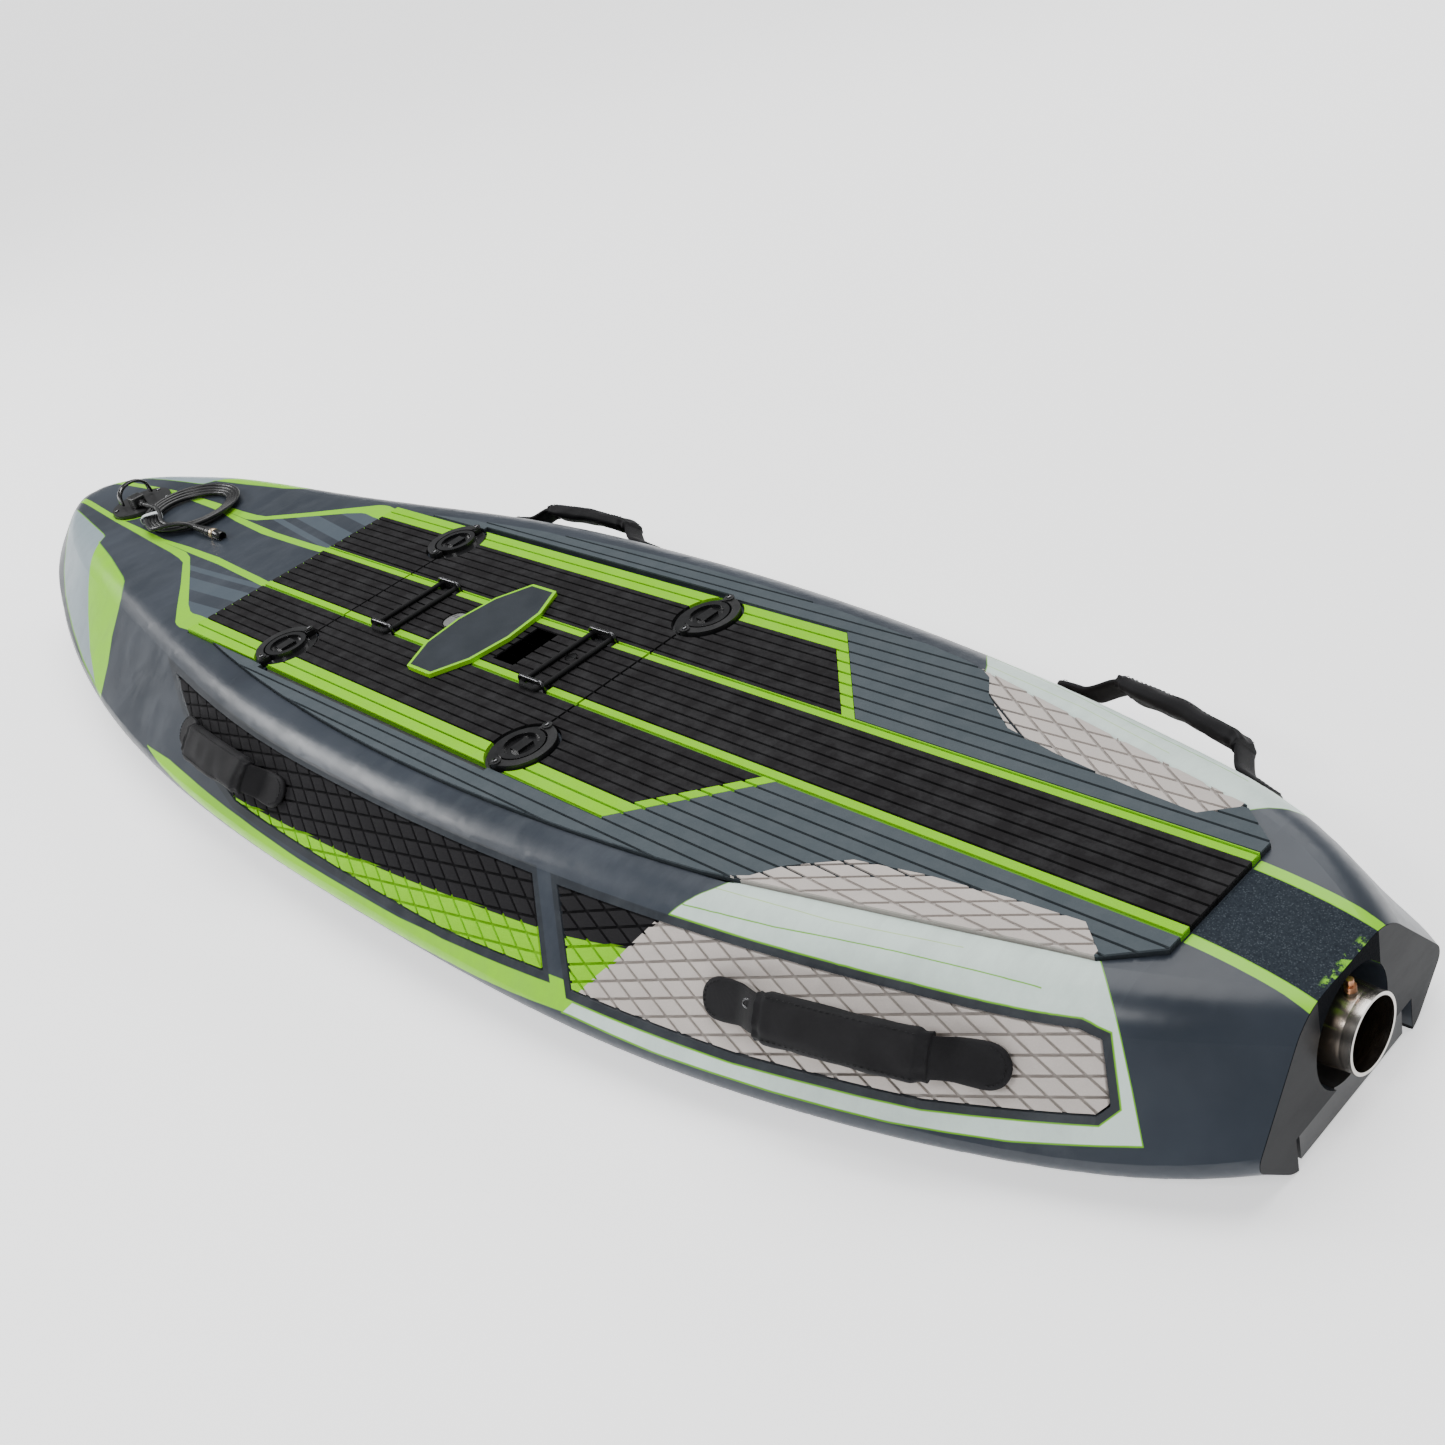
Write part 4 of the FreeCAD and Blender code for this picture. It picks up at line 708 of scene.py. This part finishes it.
def side_pad(node, sign, along, across, out):
    """A side pad cut into slanted diamonds over a floor painted darker as painted shade."""
    along, across, out = (Vector(v) for v in (along, across, out))
    if sign < 0:
        for v in (along, across, out):
            v.y = -v.y
    source = solid_of(node)
    floor = source.copy()
    floor.normal_update()
    for vert in floor.verts:
        if vert.normal.dot(out) > 0.3:
            vert.co -= out * (GROOVE_DEPTH * MM)
    families = []
    for angle, gap in SIDE_GROOVES:
        turn = math.radians(angle)
        axis = along * math.sin(turn) + across * math.cos(turn)
        families.append((tuple(axis), gap, 4.0))
    tiles = cells(source, families)
    top = piece(node + "_tiles", from_bm(node + "_tiles", tiles), "board", M["side"])
    bevel(top, 1.1)
    ground = piece(node + "_floor", from_bm(node + "_floor", floor), "board",
                   M["groove_side"])
    for thing in (top, ground):
        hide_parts(node)


# Directions along, across and out of each side recess, on the port side
SIDE_FRAMES = {
    "front": ((0.9981, -0.0621, 0.0), (0.044, 0.7079, -0.7049), (0.0437, 0.7036, 0.7093)),
    "rear": ((0.9722, 0.234, 0.0), (-0.1422, 0.5908, -0.7942), (-0.1859, 0.7721, 0.6077)),
}
for place, (along, across, out) in SIDE_FRAMES.items():
    for tag, sign in SIDES:
        side_pad("rail_pad_%s_%s" % (place, tag), sign, along, across, out)


# Carry handles: flat padded tabs and a bowed sleeve
def sweep(name, rings, closed=True):
    """A skin through rings of points."""
    bm = bmesh.new()
    rows = [[bm.verts.new(p) for p in ring] for ring in rings]
    count = len(rows[0])
    for a, b in zip(rows, rows[1:]):
        for i in range(count):
            j = (i + 1) % count
            bm.faces.new((a[i], a[j], b[j], b[i]))
    if closed:
        bm.faces.new(rows[0][::-1])
        bm.faces.new(rows[-1])
    bmesh.ops.recalc_face_normals(bm, faces=bm.faces)
    return from_bm(name, bm)


def smooth_step(t):
    t = max(0.0, min(1.0, t))
    return t * t * (3 - 2 * t)


# Middle of each handle, its lift off the chord, and the rise of its sleeve
HANDLE_MIDDLES = {
    "front": ((131.5, 239.28, 91.0), 2.55, 14.5),
    "rear": ((-677.5, 184.29, 84.0), 4.15, 18.5),
}
SLEEVE_FORE, SLEEVE_AFT = 60.0, -74.0
ROUND = 44


class Handle:
    """One carry handle's own frame: u along, v across, w out of the side."""
    def __init__(self, place, sign):
        self.middle, self.lift, self.rise = HANDLE_MIDDLES[place]
        self.along, self.across, self.out = (Vector(v) for v in SIDE_FRAMES[place])
        self.sign = sign

    def at(self, u, v, w):
        point = (Vector(self.middle) + self.along * u + self.across * v
                 + self.out * (w + self.lift))
        return Vector((point.x, point.y * self.sign, point.z)) * MM

    def height(self, u):
        """Height of the strap's middle over the pad."""
        reach = abs(u + 5.0 * smooth_step((90.0 - abs(u)) / 30.0))
        bow = 5.5 * (1 - min(1.0, max(0.0, (reach - 76.5) / 46)))
        climb = smooth_step((88.0 - reach) / 24.0)
        return bow + 2.6 + climb * (self.rise + 5.2 - bow) + 2.2 * smooth_step(1 - reach / 62)

    def skin(self, name, spans, shape_at, ripple):
        rings = []
        for u in spans:
            half_wide, half_thick, power = shape_at(u)
            ring = []
            for i in range(ROUND):
                turn = 2 * math.pi * i / ROUND
                c, d = math.cos(turn), math.sin(turn)
                push = ripple(u, turn)
                v = half_wide * math.copysign(abs(c) ** (2 / power), c) + c * push
                w = half_thick * math.copysign(abs(d) ** (2 / power), d) + d * push
                ring.append(self.at(u, v, self.height(u) + w))
            rings.append(ring)
        return sweep(name, rings)


def strap_shape(u):
    run = 122.5 - abs(u)
    wide = 15.8 * math.sqrt(max(0.0, 1 - (1 - min(1.0, run / 15.8)) ** 2)) + 0.15
    wide -= 1.6 * smooth_step((96.0 - abs(u)) / 20.0)
    thick = min(3.1, 0.4 + 2.8 * math.sqrt(min(1.0, (122.6 - abs(u)) / 5.0)))
    return wide, thick, 3.4


def sleeve_shape(u):
    run = min(SLEEVE_FORE - u, u - SLEEVE_AFT)
    full = smooth_step((run + 3.0) / 12.0)
    lip = 1.5 * math.exp(-(run / 1.9) ** 2)
    tuck = 1.0 * math.exp(-((run - 5.0) / 2.0) ** 2)
    return 14.8 + 3.9 * full + lip - tuck, 5.0 + 2.4 * full + lip - tuck, 2.3 + 0.7 * full


def sleeve_ripple(seed):
    def ripple(u, turn):
        run = min(SLEEVE_FORE - u, u - SLEEVE_AFT)
        puckers = math.exp(-run / 8.5) * math.sin(turn * 9 + seed) * 0.75
        long_fold = 0.55 * math.sin(turn * 3 + u * 0.035 + seed)
        lumps = noise.noise(Vector((u * 0.045 + seed * 7, math.cos(turn) * 1.3,
                                    math.sin(turn) * 1.3))) * 1.5
        return puckers + long_fold * smooth_step(run / 14) + lumps
    return ripple


def strap_ripple(seed):
    def ripple(u, turn):
        return noise.noise(Vector((u * 0.06 + seed * 5, math.cos(turn), math.sin(turn)))) * 0.7
    return ripple


def torus(name, spots, radius, count=8):
    """A closed ring tube through the spots, all in metres."""
    rings = []
    total = len(spots)
    middle = sum(spots, Vector()) / total
    for k, spot in enumerate(spots):
        way = (spots[(k + 1) % total] - spots[k - 1]).normalized()
        out = (spot - middle).normalized()
        up = way.cross(out).normalized()
        rings.append([spot + (out * math.cos(q) + up * math.sin(q)) * radius
                      for q in (2 * math.pi * i / count for i in range(count))])
    return sweep(name, rings + rings[:1], closed=False)


thread = []
STRAP_RINGS = [122.4, 122.0, 121.0, 119.0, 116.5, 113.0, 109.0, 105.0, 100.0, 95.0, 90.0, 86.0,
               82.0, 78.0, 74.0, 70.0, 64.0, 56.0, 46.0, 30.0, 10.0]
SLEEVE_STEPS = 76
for seed, (place, tag, sign) in enumerate((place, tag, sign) for place in ("front", "rear")
                                          for tag, sign in SIDES):
    grip = Handle(place, sign)
    node = "carry_handle_%s_%s" % (place, tag)
    spans = [-u for u in STRAP_RINGS] + STRAP_RINGS[::-1]
    strap = piece(node + "_strap",
                  grip.skin(node + "_strap", spans, strap_shape, strap_ripple(seed)),
                  "board", M["neoprene"], smooth=True)
    long = SLEEVE_FORE - SLEEVE_AFT
    spans = [SLEEVE_AFT, SLEEVE_AFT + 0.25]
    spans += [SLEEVE_AFT + long * (i / SLEEVE_STEPS) for i in range(1, SLEEVE_STEPS)]
    spans += [SLEEVE_FORE - 0.25, SLEEVE_FORE]
    sleeve = piece(node + "_sleeve", grip.skin(node + "_sleeve", spans, sleeve_shape,
                                               sleeve_ripple(seed)),
                   "board", M["neoprene"], smooth=True)
    for thing in (strap, sleeve):
        mod = thing.modifiers.new("round", "SUBSURF")
        mod.levels = mod.render_levels = 1
        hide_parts(node)
    eyelet = [grip.at(73 + 3.0 * math.cos(q), -5 + 3.0 * math.sin(q), grip.height(73) + 3.4)
              for q in (2 * math.pi * i / 20 for i in range(20))]
    piece(node + "_eyelet", torus(node + "_eyelet", eyelet, 0.0008), "board",
          M["screw"], smooth=True)

    # Stitches along both edges of the sleeve and round the tabs
    for edge in (-1, 1):
        for k in range(24):
            u = SLEEVE_AFT + 9 + k * 5.0
            wide = sleeve_shape(u)[0]
            v = edge * (wide - 3.6)
            w = grip.height(u) + 6.2
            thread.append((grip.at(u - 1.5, v, w), grip.at(u + 1.5, v, w), grip.at(u, v, w + 1)))
    for end in (-1, 1):
        for k in range(-5, 6):
            turn = k * 0.28
            u, v = end * (106.6 + 12.6 * math.cos(turn)), 12.6 * math.sin(turn)
            du, dv = -end * 1.2 * math.sin(turn), 1.2 * math.cos(turn)
            w = grip.height(u) + 2.9
            thread.append((grip.at(u - du, v - dv, w), grip.at(u + du, v + dv, w),
                           grip.at(u, v, w + 1)))


def stitch_mesh(name, runs, radius):
    """Short arched threads, each from its two ends and a point above it."""
    bm = bmesh.new()
    for a, b, top in runs:
        axis = (b - a).normalized()
        up = (top - (a + b) / 2).normalized()
        wide = axis.cross(up)
        rings = []
        for t, h, r in ((0.0, -0.4, 0.5), (0.2, 0.35, 1.0), (0.5, 0.6, 1.0), (0.8, 0.35, 1.0),
                        (1.0, -0.4, 0.5)):
            centre = a.lerp(b, t) + up * (h * radius * 1.2)
            rings.append([
                bm.verts.new(centre + (wide * math.cos(q) + up * math.sin(q)) * radius * r)
                for q in (2 * math.pi * i / 6 for i in range(6))])
        for one, two in zip(rings, rings[1:]):
            for i in range(6):
                bm.faces.new((one[i], one[(i + 1) % 6], two[(i + 1) % 6], two[i]))
        bm.faces.new(rings[0][::-1])
        bm.faces.new(rings[-1])
    bmesh.ops.recalc_face_normals(bm, faces=bm.faces)
    return from_bm(name, bm)


piece("handle_stitches", stitch_mesh("handle_stitches", thread, 0.00035), "board",
      M["shock"], smooth=True)


# Coiled lead on the nose: one cable from the gland, round the coil, to its plug
NOSE_SLOPE = 0.0468
CORD_RADIUS = 2.9
COIL_MIDDLE = (668.0, -21.0)
COIL_TURNS = 3.92
POINTS_PER_TURN = 18
COIL_START = math.radians(80.0)
INNER_RADIUS = 44.0
TURN_SPACING = 5.0
# The lead's way over the coil and its tail, as x, y and height over the deck
OVER_COIL = ((727.0, 6.4, 11.6), (708.0, 8.2, 12.4), (691.0, 14.2, 9.6))
TAIL = ((664.0, 44.0, 9.5), (648.0, 38.0, 13.0), (635.0, 27.5, 15.0), (625.0, 17.5, 14.4),
        (614.5, 10.2, 10.6), (604.0, 8.0, 8.4))


def deck_z(x):
    """Height of the deck under the lead, flat under the nose fitting."""
    return min(150.0, 147.0 + NOSE_SLOPE * (x - 660.0))


def lead_points():
    """The lead's run: over the coil to its inner turn, round and outward, then off to the plug."""
    box_low, box_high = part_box("cord_gland")
    start = Vector((box_low.x * 1000, (box_low.y + box_high.y) * 500,
                    (box_low.z + box_high.z) * 500))
    points = [start, start + Vector((-5.5, -0.3, -0.5))]
    points += [Vector((x, y, deck_z(x) + lift)) for x, y, lift in OVER_COIL]
    centre = Vector(COIL_MIDDLE)
    count = int(COIL_TURNS * POINTS_PER_TURN)
    for i in range(count + 1):
        ring = COIL_TURNS * i / count
        angle = COIL_START + ring * 2 * math.pi
        radius = (INNER_RADIUS + TURN_SPACING * ring + 2.2 * math.sin(2 * angle + 0.3 * ring)
                  + 1.2 * math.sin(3 * angle + 1.0))
        landing = 3.4 * max(0.0, 1.0 - ring / 0.3)
        height = 3.3 + 1.2 * ring + 0.7 * (1 + math.sin(2 * angle + 0.5 * ring)) + landing
        x = centre.x + radius * math.cos(angle)
        points.append(Vector((x, centre.y + radius * math.sin(angle), deck_z(x) + height)))
    return points + [Vector((x, y, deck_z(x) + lift)) for x, y, lift in TAIL]


def nurbs(name, points, radius, body, material):
    """A round smooth line; its thickness is in the points, which bounds it truly."""
    data = bpy.data.curves.new(name, "CURVE")
    data.dimensions = "3D"
    data.bevel_depth = 1.0
    data.bevel_resolution = 5
    data.resolution_u = 6
    spline = data.splines.new("NURBS")
    spline.points.add(len(points) - 1)
    for spot, point in zip(spline.points, points):
        spot.co = (*(Vector(point) * MM), 1.0)
        spot.radius = radius * MM
    spline.order_u = 3
    spline.use_endpoint_u = True
    thing = bpy.data.objects.new(name, data)
    bpy.context.scene.collection.objects.link(thing)
    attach(thing, body)
    thing.data.materials.append(material)
    return thing


lead = lead_points()
cord = nurbs("cord_cable", lead, CORD_RADIUS, "board", M["jacket"])
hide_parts("cord_lead", "cord_coil", "cord_tail")


# The plug on the lead: ribbed strain relief, body, collar and tip
def lathe(name, stations, start, axis, count=32):
    """A turned piece: (distance along, radius) pairs from a start point."""
    axis = Vector(axis).normalized()
    side = axis.orthogonal().normalized()
    other = axis.cross(side)
    rings = []
    for along, radius in stations:
        centre = Vector(start) + axis * along
        rings.append([(centre + (side * math.cos(t) + other * math.sin(t)) * radius) * MM
                      for t in (2 * math.pi * i / count for i in range(count))])
    return sweep(name, rings)


plug_axis = Vector((-62.0, -8.0, -8.0)).normalized()
plug_start = lead[-1] - plug_axis * 2
ribs = [(0.0, 3.4), (1.0, 3.9)]
for k in range(8):
    at = 2.0 + k * 3.0
    radius = 4.0 + k * 0.2
    ribs += [(at, radius - 0.5), (at + 0.4, radius), (at + 2.0, radius), (at + 2.4, radius - 0.5)]
ribs += [(26.0, 5.0), (27.0, 6.1), (28.0, 6.4), (36.5, 6.4), (37.5, 6.1)]
plug = piece("cord_plug_body", lathe("cord_plug_body", ribs, plug_start, plug_axis), "board",
             M["black"], ["cord_plug"], smooth=True)
collar = piece("cord_plug_collar", lathe("cord_plug_collar", [
    (37.0, 5.6), (37.2, 6.5), (38.0, 6.7), (42.0, 6.7), (42.8, 6.4), (43.0, 5.6)],
    plug_start, plug_axis), "board", M["gold"], ["cord_plug"], smooth=True)
tip = piece("cord_plug_tip", lathe("cord_plug_tip", [
    (42.8, 5.5), (43.2, 6.1), (44.0, 6.3), (56.5, 6.3), (57.6, 5.9), (58.0, 5.2), (57.6, 4.6),
    (50.0, 4.5)], plug_start, plug_axis), "board", M["glossy"], ["cord_plug"],
    smooth=True)
for thing in (plug, collar, tip):
    mod = thing.modifiers.new("edges", "EDGE_SPLIT")
    mod.split_angle = math.radians(40)


# Fabric tie round the turns, on the side toward the nose
def tie_band(turn, inner, outer, top, width, thick):
    away = Vector((math.cos(turn), math.sin(turn), NOSE_SLOPE * math.cos(turn)))
    side = Vector((-math.sin(turn), math.cos(turn), 0.0))
    mid, half = (inner + outer) / 2, (outer - inner) / 2
    rings = []
    for k in range(36):
        q = 2 * math.pi * k / 36
        c, d = math.cos(q), math.sin(q)
        r = mid + half * math.copysign(abs(c) ** 0.62, c)
        h = top / 2 + 0.4 + top / 2 * math.copysign(abs(d) ** 0.62, d)
        lean = 0.9 * math.sin(q * 2)
        x, y = COIL_MIDDLE[0] + away.x * r, COIL_MIDDLE[1] + away.y * r
        spot = Vector((x, y, deck_z(x) + h))
        out = (away * c + Vector((0, 0, 1)) * d).normalized()
        rings.append([(spot + side * (a * width / 2 + lean) + out * (b * thick / 2)) * MM
                      for a, b in ((-1, -1), (1, -1), (1, 1), (-1, 1))])
    return sweep("cord_tie_band", rings + rings[:1], closed=False)


tie = piece("cord_tie_band", tie_band(math.radians(52), 41.5, 68.0, 12.5, 8.5, 1.1), "board",
            M["tie"], ["cord_tie"])
bevel(tie, 0.35)


# Strap arch on the nose base
ARCH_REACH = 21.5
ARCH_RISE = 25.0


def arch(name):
    """A flat strap bent into a standing arch across the board."""
    rings = []
    for k in range(41):
        q = math.pi * k / 40
        y = ARCH_REACH * math.cos(q) * (1 + 0.06 * math.sin(q))
        z = 158.0 + ARCH_RISE * math.sin(q) ** 0.72
        way = math.atan2(ARCH_RISE * math.cos(q), -ARCH_REACH * math.sin(q))
        out = Vector((0.0, math.sin(way), -math.cos(way)))
        wide = 6.4 - 1.6 * math.sin(q)
        centre = Vector((790.0, y, z))
        rings.append([(centre + Vector((wide * a, 0, 0)) + out * (1.9 * b)) * MM
                      for a, b in ((-1, -0.55), (-0.75, -1), (0.75, -1), (1, -0.55), (1, 0.55),
                                   (0.75, 1), (-0.75, 1), (-1, 0.55))])
    return sweep(name, rings)


bail = piece("nose_bail_strap", arch("nose_bail_strap"), "board", M["glossy"],
             ["nose_bail"], smooth=True)
mod = bail.modifiers.new("round", "SUBSURF")
mod.levels = mod.render_levels = 1


# Screw heads on the nose base and the latches
def screw(name, spot, radius):
    """A low domed head with a six-sided socket."""
    profile = [(0.0, radius), (radius * 0.25, radius), (radius * 0.5, radius * 0.86),
               (radius * 0.62, radius * 0.6), (radius * 0.62, radius * 0.42)]
    bm = bmesh.new()
    rings = []
    for up, wide in profile:
        rings.append([bm.verts.new((Vector(spot) + Vector((wide * math.cos(q), wide * math.sin(q),
                                                           up))) * MM)
                      for q in (2 * math.pi * i / 24 for i in range(24))])
    for depth in (0.62, 0.1):
        ring = []
        for i in range(24):
            q = 2 * math.pi * i / 24
            wide = radius * 0.40 / math.cos((q + math.pi / 6) % (math.pi / 3) - math.pi / 6)
            ring.append(bm.verts.new((Vector(spot) + Vector((wide * math.cos(q),
                                                             wide * math.sin(q),
                                                             depth * radius))) * MM))
        rings.append(ring)
    for one, two in zip(rings, rings[1:]):
        for i in range(24):
            bm.faces.new((one[i], one[(i + 1) % 24], two[(i + 1) % 24], two[i]))
    bm.faces.new(rings[-1])
    return piece(name, from_bm(name, bm), "board", M["screw"])


for k, (x, y) in enumerate(((790.0, 32.0), (790.0, -32.0), (750.0, -24.0))):
    screw("nose_screw_%d" % k, (x, y, 156.0), 3.0)
for end, boss_x in (("front", 193.5), ("rear", -232.5)):
    for tag, sign in SIDES:
        for k, offset in enumerate((-30.0, 30.0)):
            screw("latch_screw_%s_%s_%d" % (end, tag, k), (boss_x, sign * 116.0 + offset, 145.4),
                  2.7)


# Carried-over solids and their finishes
FINISHES = {
    "hull": "hull", "lid": "case", "battery": "case", "motor": "cast", "pump_housing": "pump",
    "nozzle": "steel", "nozzle_bolt": "bolt", "ride_plate": "pump", "intake_grate": "cast",
    "fin_boxes": "pump", "nose_base": "black", "cord_socket": "black",
    "cord_gland": "jacket", "emblem_plate": "emblem", "vent_cap": "cap",
    "power_button": "glossy", "grip_insert": "grip", "lash_rings": "ring",
    "bungee_loops": "shock", "impeller": "cast", "shaft": "shaft",
}
for name in NODES:
    if name.startswith("latch_"):
        FINISHES[name] = "glossy" if "lever" in name else "black"
for name, finish in FINISHES.items():
    thing = NODES[name]
    thing.data.materials.clear()
    thing.data.materials.append(M[finish])
SOFTENED = {"nose_base": 1.2, "cord_socket": 2.2, "emblem_plate": 1.0, "vent_cap": 0.7,
            "power_button": 0.8, "grip_insert": 0.5, "ride_plate": 1.0, "intake_grate": 0.5}
SOFTENED.update({name: 0.6 for name in FINISHES if name.startswith("latch_")})
for name, width in SOFTENED.items():
    thing = NODES[name]
    weld = thing.modifiers.new("weld", "WELD")
    weld.merge_threshold = 2e-6
    bevel(thing, width, 3, 32.0)


# Floor, lamps and sky
def stage_plane(name, size, place, tone, rough):
    bpy.ops.mesh.primitive_plane_add(size=size, location=place)
    thing = bpy.context.object
    thing.name = name
    paint = Paint(name + "_paint")
    colour = paint.tint(paint.grain(900.0, 2.0), tuple(c * 0.985 for c in tone), tone)
    dress(thing, paint.done(colour, rough, Emission_Color=(*tone, 1.0), Emission_Strength=1.0),
          False)
    return thing


stage_plane("floor", 60.0, (0.0, 0.0, 0.0), (0.90, 0.90, 0.905), 0.9)


def lamp(name, place, aim, size, power, tone=(1.0, 1.0, 1.0)):
    data = bpy.data.lights.new(name, "AREA")
    data.shape = "RECTANGLE"
    data.size, data.size_y = size
    data.energy = power
    data.color = tone
    thing = bpy.data.objects.new(name, data)
    bpy.context.scene.collection.objects.link(thing)
    thing.location = place
    thing.rotation_mode = "QUATERNION"
    thing.rotation_quaternion = (Vector(aim) - Vector(place)).to_track_quat("-Z", "Y")
    return thing


lamp("bow", (3.0, 1.3, 1.9), (0.1, 0.0, 0.1), (1.6, 0.5), 60.0)
lamp("port", (-0.9, 2.3, 2.4), (-0.3, 0.0, 0.1), (0.9, 0.5), 38.0)
lamp("far", (0.4, -3.0, 2.0), (0.0, 0.0, 0.1), (2.0, 0.5), 22.0)
sun_data = bpy.data.lights.new("sky", "SUN")
sun_data.energy = 3.1
sun_data.angle = 0.95
sun = bpy.data.objects.new("sky", sun_data)
bpy.context.scene.collection.objects.link(sun)
sun.rotation_euler = (0.30, 0.16, 0.0)

world = bpy.data.worlds.new("world")
bpy.context.scene.world = world
world.use_nodes = True
world.node_tree.nodes["Background"].inputs["Color"].default_value = (0.97, 0.985, 1.0, 1.0)
world.node_tree.nodes["Background"].inputs["Strength"].default_value = 0.26
